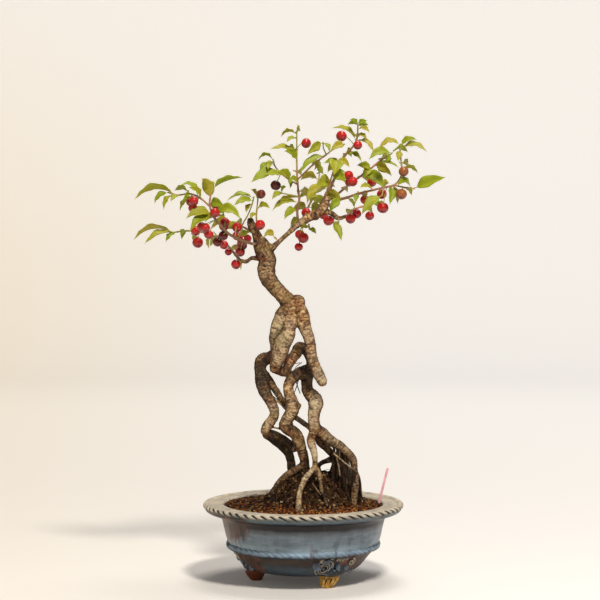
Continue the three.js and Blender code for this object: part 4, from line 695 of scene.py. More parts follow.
def rope(plan, name):  # a round moulding pressed across with slanting notches and glazed over
    outline = [(plan["radius"] + plan["out"] * math.cos(turn), plan["height"] + plan["up"] * math.sin(turn))
               for turn in (math.tau * i / 18 for i in range(18))]
    mesh = spun(outline, plan["notches"] * 16, name)
    spots = corners(mesh)
    around = np.arctan2(spots[:, 1], spots[:, 0])
    out = np.hypot(spots[:, 0], spots[:, 1]) - plan["radius"]
    tilt = np.arctan2((spots[:, 2] - plan["height"]) / plan["up"], out / plan["out"])
    pitch = math.tau * plan["radius"] / plan["notches"]
    thick = (plan["out"] + plan["up"]) / 2
    uneven = wander(spots * (1, 1, 0), 1, 9, 14)
    lean = around * plan["notches"] / math.tau + tilt * thick * plan["slope"] / pitch + 0.14 * uneven
    share = lean - np.round(lean)
    notch = np.exp(-(share * pitch / plan["width"]) ** 2) * (1 + 0.35 * wander(spots, 1, 13, 17))
    low, high = math.radians(plan["from"]), math.radians(plan["to"])
    seen = np.clip((tilt - low) / 0.35, 0, 1) * np.clip((high - tilt) / 0.35, 0, 1)
    sink = (plan["swell"] * -np.cos(share * math.tau) - plan["depth"] * notch) * seen
    spots[:, :2] *= (1 + sink * np.cos(tilt) / (plan["radius"] + out))[:, None]
    spots[:, 2] += sink * np.sin(tilt)
    moved(mesh, spots + (potX, 0, 0))
    # the notches get painted shade, which the glaze reads from relief
    setNumbers(mesh, "relief", 0.5 + 0.08 * seen - plan["shade"] * np.minimum(notch, 1) * seen)
    return mesh


mask = {  # a beast's face pressed on over each foot: left or right of the foot, height, how far out of the wall
    "middle": 3.5,
    "lumps": [  # then thickness, half width and half height
        (-2, 21, -4.6, 5, 17, 9), (-2.4, 23.6, 0.8, 3, 2.2, 4),  # the clay below it, snout
        (-5, 19.4, 1.8, 1.5, 1.8, 1.4), (0, 19.4, 1.8, 1.5, 1.8, 1.4),  # nostrils
        (-17.6, 30.4, 0, 3.2, 6.4, 3.6), (-10.4, 26.6, 0.2, 2.6, 2, 4.4), (4.4, 32, -0.8, 2.6, 3, 2.6),  # brows
        (-17, 21.6, 0.8, 1.6, 1.6, 1.6), (9, 21, 0.2, 2, 3, 3.4),  # eyes
        (-24.6, 25.4, 0, 3.2, 4.2, 5.2), (19, 16.5, -1.4, 3, 4, 4)],  # cheeks
    "lines": [  # then thickness
        [(-4.8, 32.6, 1.2, 0.85), (-6.8, 29.4, 1.6, 1)], [(-1.6, 32.4, 1.2, 0.85), (-3.6, 29.2, 1.6, 1)],
        [(1.6, 32, 1.2, 0.85), (-0.4, 28.8, 1.6, 1)],  # mane
        [(-23, 28, 1.2, 0.5), (-22, 32, 1.4, 0.5), (-17, 33.6, 1.6, 0.5), (-11, 32, 1.6, 0.5)],
        [(-12, 28.6, 1.8, 0.5), (-9.4, 26, 2, 0.6), (-8, 22, 1.6, 0.6)],
        [(-13, 17.6, 1.6, 0.75), (-10.4, 15.4, 2.2, 0.75), (-8, 17.6, 2.4, 0.75), (-5.6, 15.4, 3.4, 0.75)],
        [(-3, 17.4, 2.6, 0.75), (-0.8, 15.2, 3.4, 0.75), (1.8, 17.4, 2.2, 0.75), (5, 16, 2, 0.75)],  # lips
        [(-25, 20.6, 1, 0.6), (-23.6, 17.6, 1, 0.6), (-20, 15, 1, 0.6)]],  # jaw
    "rings": [(-17, 21.6, 5.6, 0.6), (-17, 21.6, 3.7, 0.5)],  # height, radius, thickness
    "scroll": (12.8, 26.6, 4.2, 1),
    "wall": ((12, 50), (15, 56), (20.5, 61), (26.5, 65.5), (31.6, 69.6)),  # height and radius of the wall
}


def onWall(side, height, out):  # a place on the wall or out of it, with the foot pointing along +X
    side += mask["middle"]
    heights, radii = zip(*mask["wall"])
    return Vector((math.sqrt((np.interp(height, heights, radii) + out) ** 2 - side ** 2), side, height))


def footMesh():  # one foot and the beast mask pressed on above it, pointing along +X
    bm = bmesh.new()
    for side, height, out, *sizes in mask["lumps"]:
        spot = onWall(side, height, out)
        at = Matrix.Translation(spot * mm) @ Matrix.Rotation(math.atan2(spot.y, spot.x), 4, "Z")
        at @= Matrix.Diagonal((*[size * mm for size in sizes], 1))
        bmesh.ops.create_uvsphere(bm, u_segments=20, v_segments=14, radius=1, matrix=at)
    shaped = meshOf(bm, "mask")
    runs = [[(onWall(*spot[:3]), spot[3]) for spot in line] for line in mask["lines"]]
    for side, height, reach, thick in mask["rings"]:
        runs.append([(onWall(side + reach * math.cos(a), height + reach * math.sin(a), 1.9), thick)
                     for a in (math.tau * i / 20 for i in range(21))])
    side, height, reach, thick = mask["scroll"]
    curl = []
    for i in range(22):  # winds in to its middle
        share = i / 21
        angle, far = math.radians(100) - share * 1.5 * math.tau, reach * (1 - 0.85 * share)
        spot = onWall(side + far * math.cos(angle), height + far * math.sin(angle), 1.6)
        curl.append((spot, thick * (1 - 0.35 * share)))
    runs.append(curl)
    inked = [a.lerp(b, i / 6) for run in runs for (a, _), (b, _) in zip(run, run[1:]) for i in range(7)]
    drawn = KDTree(len(inked))
    for spot in inked:
        drawn.insert(spot, 0)
    drawn.balance()
    leg = [(Vector((46.8, 2, 16)), 11.2), (Vector((47, 1.4, 11)), 10.3), (Vector((47, -0.2, 6.5)), 8.5),
           (Vector((47, -1.8, 2.6)), 6.7), (Vector((47, -2.4, 0.3)), 5.7)]
    for turn in (-1.1, -0.55, 0, 0.55, 1.1):  # toes
        spread = Vector((math.cos(turn), math.sin(turn), 0))
        runs.append([(Vector((48, 1, 9.6)) + spread * 9.4, 1.5), (Vector((47.6, -0.8, 5)) + spread * 7.3, 1.6),
                     (Vector((47, -2.2, 1.4)) + spread * 5.6, 1.4)])
    whole = joinedMesh([shaped, tubes(runs, "lines", 3), tubes([leg], "leg", 8)], "foot")
    whole = remeshed(whole, 0.6, 2, "foot")
    spots = corners(whole) / mm
    spots += wander(spots, 0.4, 4.2, 6)[:, None] * (0.5, 0.7, 0.4)
    spots[:, 2] = np.maximum(spots[:, 2], 0)
    apart = np.array([drawn.find(Vector(spot))[2] for spot in spots])
    setNumbers(whole, "drawn", np.clip(2 - apart, 0, 1) * np.clip((spots[:, 2] - 11) / 2, 0, 1))
    setNumbers(whole, "claw", np.clip((12.6 - spots[:, 2]) / 1.4, 0, 1))
    return moved(whole, spots)


def feet():
    base = footMesh()
    meshes = []
    for angle in pot["footAngles"]:
        copy = base.copy()
        copy.transform(Matrix.Translation((potX * mm, 0, 0)) @ Matrix.Rotation(math.radians(angle), 4, "Z"))
        meshes.append(copy)
    return joinedMesh(meshes, "pot_feet")


def glazeMaterial():  # stoneware under an ash-blue glaze: it breaks brown where it runs thin and pools dark, with painted shade under the rim, under the waist rope and in the hollows
    material, tree, spot = startMaterial("glazed_stoneware")
    centred = addNode(tree, "Mapping", {"Location": (-potX * mm, 0, 0)}, {"Vector": spot})
    axes = addNode(tree, "SeparateXYZ", {}, {"Vector": centred})
    cloud = addNode(tree, "TexNoise", {"Scale": 1 / 0.018, "Detail": 4, "Roughness": 0.6},
        {"Vector": centred})
    wobble = addNode(tree, "Math", {"operation": "MULTIPLY_ADD", "Value_001": 0.004},
        {"Value": cloud, "Value_002": axes.outputs["Z"]})
    level = addNode(tree, "MapRange", {"range": (0, 0.086)}, {"Value": wobble})
    stops = [  # height in mm, colour
        (0, "#3A2012"), (13, "#1A1112"), (16, "#262F37"), (22.5, "#3C4B56"),
        # 33.2 to 35.8: a near-black line under the waist rope, painted shade over a brown line of glaze
        (26.5, "#323437"), (30.5, "#402917"), (33.2, "#2E1F15"), (34.4, "#100B0C"), (35.8, "#1C1E26"),
        (37, "#6C8092"), (39.5, "#9BB2C6"), (43, "#93A5B0"), (48, "#8494A0"), (57, "#86939E"), (61, "#666B72"),
        # 64 to 70.6: a near-black band under the rim, painted shade over brown glaze
        (64, "#272025"), (70.6, "#151113"), (72, "#36404A"), (74, "#5E6E79"), (77, "#8E8C80"), (79, "#DACBB2"),
        (84, "#F0DFC6")]
    zones = addNode(tree, "ValToRGB", {"stops": [(z / 86, code) for z, code in stops]}, {"Fac": level})

    # runs of glaze down the wall, and the rings of the wheel round it
    upright = addNode(tree, "Mapping", {"Scale": (1, 1, 0.3)}, {"Vector": centred})
    runs = addNode(tree, "TexNoise", {"Scale": 1 / 0.008, "Detail": 5, "Roughness": 0.6}, {"Vector": upright})
    flattened = addNode(tree, "Mapping", {"Scale": (0.22, 0.22, 1)}, {"Vector": centred})
    rings = addNode(tree, "TexNoise", {"Scale": 1 / 0.0045, "Detail": 4, "Roughness": 0.6},
        {"Vector": flattened})
    runShare = addNode(tree, "Math", {"operation": "MULTIPLY", "Value_001": 0.4}, {"Value": runs})
    streaks = addNode(tree, "Math", {"operation": "MULTIPLY_ADD", "Value_001": 0.6},
        {"Value": rings, "Value_002": runShare})
    streakShade = addNode(tree, "ValToRGB",
        {"stops": [(0.36, "#A7A9A8"), (0.5, "#DCDEDF"), (0.64, "#FFFFFF")]}, {"Fac": streaks})
    streaked = addNode(tree, "Mix", {"blend_type": "MULTIPLY", "Factor_Float": 0.8},
        {"A_Color": zones, "B_Color": streakShade})

    # rust where the glaze is thin: here and there, and most of the left side
    hanging = addNode(tree, "Mapping", {"Scale": (1, 1, 0.4), "Location": (0.31, 0, 0)}, {"Vector": centred})
    patches = addNode(tree, "TexNoise",
        {"Scale": 1 / 0.022, "Detail": 6, "Roughness": 0.62, "Distortion": 0.4}, {"Vector": hanging})
    side = addNode(tree, "MapRange", {"interpolation_type": "SMOOTHSTEP", "range": (-0.038, -0.076, 0, 0.48)},
        {"Value": axes.outputs["X"]})
    high = addNode(tree, "MapRange", {"interpolation_type": "SMOOTHSTEP", "range": (0.04, 0.06, 0.2, 1)},
        {"Value": axes.outputs["Z"]})
    leftRust = addNode(tree, "Math", {"operation": "MULTIPLY"}, {"Value": side, "Value_001": high})
    aside = addNode(tree, "Math", {"operation": "ABSOLUTE"}, {"Value": axes.outputs["X"]})
    flank = addNode(tree, "MapRange", {"interpolation_type": "SMOOTHSTEP", "range": (0.026, 0.052, 0, 0.36)},
        {"Value": aside})
    low = addNode(tree, "MapRange", {"range": (0.034, 0.032)}, {"Value": axes.outputs["Z"]})
    flankRust = addNode(tree, "Math", {"operation": "MULTIPLY"}, {"Value": flank, "Value_001": low})
    moreRust = addNode(tree, "Math", {"operation": "ADD"}, {"Value": leftRust, "Value_001": flankRust})
    rustLevel = addNode(tree, "Math", {"operation": "ADD"}, {"Value": patches, "Value_001": moreRust})
    thin = addNode(tree, "ValToRGB", {"stops": [(0.58, 0.0), (0.7, 0.92)]}, {"Fac": rustLevel})
    lowWall = addNode(tree, "MapRange", {"range": (0.076, 0.073)}, {"Value": axes.outputs["Z"]})
    rustAmount = addNode(tree, "Math", {"operation": "MULTIPLY"}, {"Value": thin, "Value_001": lowWall})
    rustTone = addNode(tree, "ValToRGB", {"stops": [(0.4, "#24130D"), (0.52, "#482818"), (0.66, "#6E3D20")]},
        {"Fac": runs})
    rusted = addNode(tree, "Mix", {}, {"A_Color": streaked, "B_Color": rustTone, "Factor_Float": rustAmount})

    # the claws are golden, and brown on that side
    sideShare = addNode(tree, "MapRange", {"range": (-0.02, -0.034)}, {"Value": axes.outputs["X"]})
    mottle = addNode(tree, "TexNoise", {"Scale": 1 / 0.0026, "Detail": 4}, {"Vector": centred})
    clawTone = addNode(tree, "ValToRGB", {"stops": [(0.36, "#A0681F"), (0.5, "#C8963A"), (0.66, "#E6C274")]},
        {"Fac": mottle})
    clawColour = addNode(tree, "Mix", {"B_Color": "#74391A"}, {"A_Color": clawTone, "Factor_Float": sideShare})
    claw = addNode(tree, "Attribute", {"attribute_name": "claw"})
    browned = addNode(tree, "Mix", {}, {"A_Color": rusted, "B_Color": clawColour, "Factor_Float": claw})

    # the glaze breaks pale on crests and pools dark in hollows, strengthened with painted highlight on the
    # crests and painted shade in the hollows
    relief = addNode(tree, "Attribute", {"attribute_name": "relief"})
    hollow = addNode(tree, "MapRange", {"range": (0.45, 0.15)}, {"Value": relief})
    pooledAndShaded = addNode(tree, "Mix", {"B_Color": "#121013"}, {"A_Color": browned, "Factor_Float": hollow})
    carved = addNode(tree, "Attribute", {"attribute_name": "carved"})
    drawn = addNode(tree, "Attribute", {"attribute_name": "drawn"})
    crestReach = addNode(tree, "Math", {"operation": "MULTIPLY_ADD", "Value_001": 0.8, "Value_002": 0.06},
        {"Value": carved})
    crest = addNode(tree, "MapRange", {"range": (0.56, 0.8)}, {"Value": relief, "To Max": crestReach})
    crestColour = addNode(tree, "Mix", {"A_Color": "#6C8093", "B_Color": "#BDB29D"}, {"Factor_Float": drawn})
    crestedAndLit = addNode(tree, "Mix", {}, {"A_Color": pooledAndShaded, "B_Color": crestColour, "Factor_Float": crest})

    # fine specks of iron
    specks = addNode(tree, "TexVoronoi", {"Scale": 1 / 0.0021}, {"Vector": centred})
    dots = addNode(tree, "ValToRGB", {"stops": [(0.1, 1.0), (0.2, 0.0)]}, {"Fac": specks})
    rare = addNode(tree, "TexNoise", {"Scale": 1 / 0.004}, {"Vector": centred})
    rareMask = addNode(tree, "ValToRGB", {"stops": [(0.5, 0.0), (0.62, 0.75)]}, {"Fac": rare})
    speckAmount = addNode(tree, "Math", {"operation": "MULTIPLY"}, {"Value": dots, "Value_001": rareMask})
    specked = addNode(tree, "Mix", {"B_Color": "#3C3028"}, {"A_Color": crestedAndLit, "Factor_Float": speckAmount})

    rough = addNode(tree, "MapRange", {"range": (0.006, 0.0125, 0.85, 0.34)}, {"Value": wobble})
    roughMix = addNode(tree, "Math", {"operation": "MULTIPLY_ADD", "Value_001": 0.22, "Value_002": -0.08},
        {"Value": cloud})
    roughness = addNode(tree, "Math", {"operation": "ADD"}, {"Value": rough, "Value_001": roughMix})
    bump = addNode(tree, "Bump", {"Strength": 0.35, "Distance": 0.0006}, {"Height": streaks})
    pits = addNode(tree, "Bump", {"Strength": 0.3, "Distance": 0.0003, "invert": True},
        {"Height": dots, "Normal": bump})
    return endMaterial(material, {"Specular IOR Level": 0.32},
        {"Base Color": specked, "Roughness": roughness, "Normal": pits})


glaze = glazeMaterial()
body, footing = potBody(), feet()
setNumbers(body, "relief", np.full(len(body.vertices), 0.5))
setNumbers(footing, "relief", hollows(footing))
setNumbers(footing, "carved", np.clip((corners(footing)[:, 2] / mm - 12.5) / 2, 0, 1))
for mesh in (body, rope(pot["rimRope"], "pot_rim_rope"), rope(pot["waistRope"], "pot_waist_rope"), footing):
    keep(mesh, mesh.name, ["pot"], [glaze])

print("soil and root mound")
soil = {
    "height": 75.4, "radius": 79.0, "grains": 3400, "grain": (0.8, 1.5), "seed": 11,
    "spread": 77.6, "dome": 2.2,  # how far out the grains lie, and how far the bed rises to the mound
}
mound = {
    "x": 10, "y": 10, "left": 72, "right": 52, "deep": 46, "skirt": 13,  # a low, wide skirt of old soil
    "humpLeft": 46, "humpRight": 50, "humpDeep": 43, "hump": 19,  # with a steep hump on it
    "clods": ((2.6, 13, 2), (1.5, 5.5, 7), (0.8, 2.4, 4)),  # how high, how long, and the noise's seed
    "tuck": 12,  # how far its edge dives under the granules
    "crumbs": 1500, "crumb": (0.6, 1.7), "crumbSeed": 23, "rootlets": 260, "rootletSeed": 6,
}


def repeated(mesh, count):  # that many copies of a mesh in one, one after another
    thing = linked(mesh)
    row = thing.modifiers.new("row", "ARRAY")
    row.use_relative_offset = False
    row.count = count
    return applied(thing)


def moundHeight(x, y):  # height over the soil
    dx, dy = x - mound["x"], y - mound["y"]
    skirt = math.hypot(dx / (mound["left"] if dx < 0 else mound["right"]), dy / mound["deep"])
    hump = math.hypot(dx / (mound["humpLeft"] if dx < 0 else mound["humpRight"]), dy / mound["humpDeep"])
    return mound["skirt"] * max(0.0, 1 - skirt ** 2) + mound["hump"] * max(0.0, 1 - hump ** 3)


def moundSurface(x, y):  # the same with its clods
    rise = moundHeight(x, y)
    clods = sum(high * lumps((x, y, 0), size, clodSeed) for high, size, clodSeed in mound["clods"])
    return soil["height"] + rise + min(rise / 5, 1) * clods


def moundMesh():
    bm = turned([(i / 60, 0) for i in range(61)], 180)
    bmesh.ops.remove_doubles(bm, verts=bm.verts, dist=1e-4)
    for vert in bm.verts:
        x = mound["x"] + vert.co.x * (mound["left"] if vert.co.x < 0 else mound["right"])
        y = mound["y"] + vert.co.y * mound["deep"]
        edge = math.hypot(vert.co.x, vert.co.y)
        up = moundSurface(x, y) - mound["tuck"] * max(0, edge - 0.9)
        vert.co = Vector((potX + x, y, up)) * mm
    rim = [e for e in bm.edges if e.is_boundary]
    bottom = bmesh.ops.extrude_edge_only(bm, edges=rim)
    lower = [v for v in bottom["geom"] if isinstance(v, bmesh.types.BMVert)]
    bmesh.ops.translate(bm, verts=lower, vec=(0, 0, -3 * mm))
    bmesh.ops.contextual_create(bm, geom=[e for e in bm.edges if e.is_boundary])
    bmesh.ops.recalc_face_normals(bm, faces=bm.faces)
    return meshOf(bm, "root_mound_peat")


def soilBed():
    outline = [(0.01, 18), (49, 18.6), (59, 27.5), (69, 45), (76, 66), (79, 75)]
    outline += [(soil["radius"] * (1 - i / 40) + 0.01, soil["height"]) for i in range(1, 41)]
    bm = turned(outline, 128)
    bmesh.ops.remove_doubles(bm, verts=bm.verts, dist=0.02)
    for vert in bm.verts:
        if vert.co.z > soil["height"] - 0.3:
            out = math.hypot(vert.co.x, vert.co.y)
            vert.co.z += soil["dome"] * (1 - out / soil["radius"]) + 0.6 * lumps(vert.co, 4) - 0.4
        vert.co = (vert.co + Vector((potX, 0, 0))) * mm
    bmesh.ops.recalc_face_normals(bm, faces=bm.faces)
    return meshOf(bm, "soil_bed")


def scattered(count, sizes, seed, where, lift, segments, rings, name):
    # rough grains: each place from where(), sunk by a share of its size
    chance = random.Random(seed)
    bm = bmesh.new()
    bmesh.ops.create_uvsphere(bm, u_segments=segments, v_segments=rings, radius=1)
    grain = meshOf(bm, "grain")
    shape = corners(grain)
    mesh = repeated(grain, count)
    mesh.name = name
    spots, tones = [], []
    for _ in range(count):
        x, y, up = where(chance)
        size = chance.uniform(*sizes)
        turn = np.array(Matrix.Rotation(chance.uniform(0, math.tau), 3, Vector(
            (chance.uniform(-1, 1), chance.uniform(-1, 1), chance.uniform(-1, 1))).normalized()))
        rough = np.array([1 + chance.uniform(-0.16, 0.16) for _ in range(len(shape))])
        stretch = np.array([chance.uniform(0.8, 1.2) for _ in range(3)])
        grainSpots = (shape * rough[:, None] * stretch * size) @ turn.T
        spots.append(grainSpots + (potX + x, y, up + lift * size))
        tones += [chance.random()] * len(shape)
    mesh = moved(mesh, np.concatenate(spots))
    setNumbers(mesh, "tone", tones)
    return shaded(mesh, False)


def onBed(chance):  # a place on the bed, more likely clear of the mound
    while True:
        x, y = (chance.uniform(-soil["radius"], soil["radius"]) for _ in range(2))
        out = math.hypot(x, y)
        if out < soil["spread"] and (moundHeight(x, y) < 3.4 or chance.random() < 0.05):
            dome = soil["dome"] * (1 - out / soil["radius"])
            rise = max(moundHeight(x, y) * 0.92, 0)
            return x, y, soil["height"] + dome + rise


def onMound(chance):
    while True:
        x = mound["x"] + chance.uniform(-mound["left"], mound["right"])
        y = mound["y"] + mound["deep"] * chance.uniform(-1, 1)
        if moundHeight(x, y) > 0.8:
            return x, y, moundSurface(x, y)


def clayMaterial():  # fired clay granules: dry and matt, each grain its own orange, brown or nearly black
    material, tree, spot = startMaterial("fired_clay_granules")
    tone = addNode(tree, "Attribute", {"attribute_name": "tone"})
    stops = [(0, "#1E0F07"), (0.2, "#4A230D"), (0.35, "#7A3A12"), (0.49, "#A0511C"), (0.62, "#BE6C26"),
             (0.74, "#D98B34"), (0.84, "#ECB55A"), (0.89, "#1C0E08"), (0.975, "#F4E0AC")]
    grains = addNode(tree, "ValToRGB", {"interpolation": "CONSTANT", "stops": stops}, {"Fac": tone})
    centred = addNode(tree, "Mapping", {"Location": (-potX * mm, 0, 0)}, {"Vector": spot})
    axes = addNode(tree, "SeparateXYZ", {}, {"Vector": centred})
    # painted light towards the front and the right, painted shade towards the back by the mound and on the left
    front = addNode(tree, "MapRange", {"range": (-0.02, -0.078, 0.36, 0.78)}, {"Value": axes.outputs["Y"]})
    right = addNode(tree, "MapRange", {"range": (-0.075, 0.02, 0.66, 0.95)}, {"Value": axes.outputs["X"]})
    light = addNode(tree, "Math", {"operation": "MULTIPLY"}, {"Value": front, "Value_001": right})
    grit = addNode(tree, "TexNoise", {"Scale": 1 / 0.0007, "Detail": 3}, {"Vector": spot})
    gritShade = addNode(tree, "MapRange", {"range": (0.3, 0.7, 0.72, 1.12)}, {"Value": grit})
    shade = addNode(tree, "Math", {"operation": "MULTIPLY"}, {"Value": light, "Value_001": gritShade})
    colour = addNode(tree, "Mix", {"blend_type": "MULTIPLY", "Factor_Float": 1.0},
        {"A_Color": grains, "B_Color": shade})
    bump = addNode(tree, "Bump", {"Strength": 0.5, "Distance": 0.0003}, {"Height": grit})
    return endMaterial(material, {"Roughness": 0.92, "Specular IOR Level": 0.25},
        {"Base Color": colour, "Normal": bump})


def bedMaterial():  # the shaded clay dust and fine grains below the granules
    material, tree, spot = startMaterial("clay_dust")
    cells = addNode(tree, "TexVoronoi", {"Scale": 1 / 0.0017}, {"Vector": spot})
    cloud = addNode(tree, "TexNoise", {"Scale": 1 / 0.009, "Detail": 4}, {"Vector": spot})
    grains = addNode(tree, "ValToRGB",
        {"stops": [(0.3, "#1C0F0A"), (0.48, "#351B0E"), (0.62, "#4F2A13"), (0.75, "#66391A")]},
        {"Fac": cloud})
    gaps = addNode(tree, "ValToRGB", {"stops": [(0.25, "#FFFFFF"), (0.75, "#5A5A5A")]}, {"Fac": cells})
    colour = addNode(tree, "Mix", {"blend_type": "MULTIPLY", "Factor_Float": 0.9},
        {"A_Color": grains, "B_Color": gaps})
    bump = addNode(tree, "Bump", {"Strength": 0.8, "Distance": 0.0008, "invert": True}, {"Height": cells})
    return endMaterial(material, {"Roughness": 1.0, "Specular IOR Level": 0.15},
        {"Base Color": colour, "Normal": bump})


def peatMaterial():  # old peaty soil, nearly black where damp, with olive moss on its crests
    material, tree, spot = startMaterial("peat_and_moss")
    cloud = addNode(tree, "TexNoise", {"Scale": 1 / 0.011, "Detail": 6, "Roughness": 0.65}, {"Vector": spot})
    fine = addNode(tree, "TexNoise", {"Scale": 1 / 0.0015, "Detail": 4, "Roughness": 0.7}, {"Vector": spot})
    ground = addNode(tree, "ValToRGB",
        {"stops": [(0.3, "#150D08"), (0.45, "#2C1B10"), (0.58, "#482F1B"), (0.72, "#6C4A2A")]}, {"Fac": fine})
    mossMask = addNode(tree, "ValToRGB", {"stops": [(0.54, 0.0), (0.68, 0.6)]}, {"Fac": cloud})
    mossed = addNode(tree, "Mix", {"B_Color": "#45401A"}, {"A_Color": ground, "Factor_Float": mossMask})
    relief = addNode(tree, "Attribute", {"attribute_name": "relief"})
    shade = addNode(tree, "MapRange", {"range": (0.25, 0.7, 0.45, 1.15)}, {"Value": relief})
    colour = addNode(tree, "Mix", {"blend_type": "MULTIPLY", "Factor_Float": 1.0},
        {"A_Color": mossed, "B_Color": shade})
    bump = addNode(tree, "Bump", {"Strength": 0.9, "Distance": 0.0011}, {"Height": fine})
    return endMaterial(material, {"Roughness": 1.0, "Specular IOR Level": 0.15},
        {"Base Color": colour, "Normal": bump})


def crumbMaterial():  # crumbs of peat and bits of bark
    material, tree, spot = startMaterial("peat_crumbs")
    tone = addNode(tree, "Attribute", {"attribute_name": "tone"})
    stops = [(0, "#150D08"), (0.5, "#2B1A10"), (0.7, "#4A2E1A"), (0.86, "#6E4A2A"), (0.95, "#8F7350"),
             (1.0, "#B59F78")]
    colour = addNode(tree, "ValToRGB", {"stops": stops}, {"Fac": tone})
    grit = addNode(tree, "TexNoise", {"Scale": 1 / 0.0009, "Detail": 3}, {"Vector": spot})
    bump = addNode(tree, "Bump", {"Strength": 0.6, "Distance": 0.0005}, {"Height": grit})
    return endMaterial(material, {"Roughness": 1.0, "Specular IOR Level": 0.15},
        {"Base Color": colour, "Normal": bump})


def rootletRuns():  # hair roots that lie on the mound or stand out of it and droop back
    chance = random.Random(mound["rootletSeed"])
    runs = []
    for _ in range(mound["rootlets"]):
        x, y, up = onMound(chance)
        heading = chance.uniform(0, math.tau)
        length = chance.uniform(5, 20)
        loft = chance.choice((0.3, 0.6, 2.5, 5)) * chance.uniform(0.4, 1)
        thick = chance.uniform(0.16, 0.42)
        bend = chance.uniform(-1.2, 1.2)
        run = []
        for i in range(9):
            share = i / 8
            run.append((Vector((potX + x, y, up + loft * math.sin(math.pi * share) - 0.1)),
                        thick * (1 - 0.6 * share)))
            x += length / 8 * math.cos(heading + bend * share)
            y += length / 8 * math.sin(heading + bend * share)
            ground = moundSurface(x, y) if moundHeight(x, y) > 0 else soil["height"] + 0.8
            up += (ground - up) * 0.7
        runs.append(run)
    return runs


keep(soilBed(), "soil_bed", ["soil"], [bedMaterial()])
keep(scattered(soil["grains"], soil["grain"], soil["seed"], onBed, 0.35, 7, 5, "soil_granules"),
     "soil_granules", ["soil"], [clayMaterial()])
peatMesh = moundMesh()
setNumbers(peatMesh, "relief", hollows(peatMesh))
keep(peatMesh, "mound_peat", ["root_mound"], [peatMaterial()])
keep(scattered(mound["crumbs"], mound["crumb"], mound["crumbSeed"], onMound, 0.2, 6, 4, "mound_crumbs"),
     "mound_crumbs", ["root_mound"], [crumbMaterial()])
hairRoots = cloudedMaterial(  # dry and fibrous, straw to dark brown
    "hair_roots", 0.007, 3, [(0.32, "#2E2118"), (0.5, "#58422C"), (0.62, "#8F734E"), (0.74, "#C2AA80")],
    {"Roughness": 0.85, "Specular IOR Level": 0.3})
keep(tubes(rootletRuns(), "mound_rootlets", 0), "mound_rootlets", ["root_mound"], [hairRoots])

print("wood")
bark = {
    "voxel": 0.83, "rounds": 3,
    "lumps": ((0.6, 15), (0.5, 6.5), (0.34, 2.8)),  # how far the bark swells, and over what length, mm
    "rings": 0.2,  # how far the cross rings stand out
    # where the bark is nearly black, from dark damp wood and from painted shade, and where it is pale, from
    # wear and from painted highlight: across, depth, up, reach, strength
    "dark": [
        (-33, 5, 225, 6, 1.0), (-38, 4, 219, 6, 0.9), (-43, 0, 211, 8, 1.0), (-42, -3, 201, 10, 1.0),
        (-37, -4, 189, 8, 0.85), (-33, -5, 180, 4, 0.35), (-33, 3, 145, 6, 1.0), (-24, 10, 137, 10, 1.0),
        (-16, 15, 126, 8, 1.0), (-12, 17, 112, 10, 0.9), (-7, 4, 206, 5, 0.95), (0, 6, 211, 6, 1.0),
        (5, 5, 207, 6, 1.0), (3.6, 2, 197, 6, 1.0), (5, -1, 190, 4, 0.75), (-12, -1, 202, 4, 0.6),
        (1, 12, 232, 5, 0.9), (6, 12, 225, 6, 0.9), (9, 9, 214, 7, 0.8), (-17, -1, 211, 5, 0.55),
        (-1, -2, 159, 7, 1.0), (-28, 3, 192, 5, 0.5), (-15, 8, 140, 9, 1.0), (0, 4, 268, 3, 0.5),
        (28, 5, 126, 6, 1.0), (20, 12, 118, 8, 1.0), (20, -3, 136, 5, 0.7), (12, 17, 104, 9, 1.0),
        (40, 0, 128, 6, 0.9), (46, 20, 105, 12, 1.0), (32, 8, 108, 9, 1.0), (39, 4, 110, 9, 1.0),
        (3, 30, 120, 20, 1.0), (1.5, 3, 112, 9, 0.75), (4, 5, 94, 10, 0.9), (-3, 0, 136, 4, 0.35),
        (-52.5, -3, 361, 2.5, 1.0), (-51, -3, 355, 2, 0.4), (57, -6, 98, 8, 0.7), (-18, 6, 103, 9, 0.6),
        (-9, -6, 262, 2, 0.5), (-12, -5, 158, 3, 0.3), (12, -21, 120, 2, 0.3), (17, -25, 100, 3, 0.35),
        (21, -29, 84, 7, 0.95), (-27, 7, 92, 6, 0.7), (-18, -5, 280, 20, 0.33), (-36, -5, 305, 20, 0.4),
        (-38, -5, 335, 20, 0.42), (52, -14, 112, 7, 0.6), (53, -20, 90, 12, 0.62), (44, -14, 126, 8, 0.5),
        (18, -12, 150, 9, 0.42), (28, -14, 143, 9, 0.46), (36, -15, 135, 8, 0.46), (10, -10, 176, 8, 0.2),
        (-10, -10, 150, 14, 0.3), (-8, -10, 125, 14, 0.3), (-20, -4, 175, 9, 0.3)],
    "pale": [
        (-24, -13, 258, 6, 0.6), (-27, -13, 248, 6, 0.85), (-28, -8, 239, 5, 0.8), (-14, -20, 252, 6, 0.6),
        (-19, -22, 240, 6, 0.8), (-24, -20, 226, 6, 0.7), (5, -19, 246, 5, 0.6), (9, -22, 224, 6, 0.45),
        (17, -26, 205, 6, 0.8), (13, -15, 178, 5, 0.9), (10.5, -17, 164, 6, 0.7), (-12, -12, 180, 5, 0.35),
        (28, -16, 141, 6, 0.5), (38, -16, 134, 6, 0.5), (10, -20, 130, 6, 0.9), (4, -29, 107, 7, 0.85),
        (-3, -38, 90, 9, 0.6), (-5, -50, 76, 8, 0.45), (50, -14, 104, 6, 0.3), (-36, -10, 158, 5, 0.55),
        (-34, -8, 310, 6, 0.25), (-30, -9, 172, 4, 0.5), (-14, -11, 164, 4, 0.45), (-4, -11, 354, 5, 0.4),
        (44, -19, 117, 6, 0.5)],
}


def woodRuns():
    runs = {name: route(points) for name, points in limbs.items()}
    for i, points in enumerate(smallRoots):
        runs["small%d" % i] = route(points)
    for i, points in enumerate(branches):
        runs["branch%d" % i] = route(points)
    for name in ("trunk", "frontRoot"):
        roundEnd(runs[name], 1.0)
    return runs


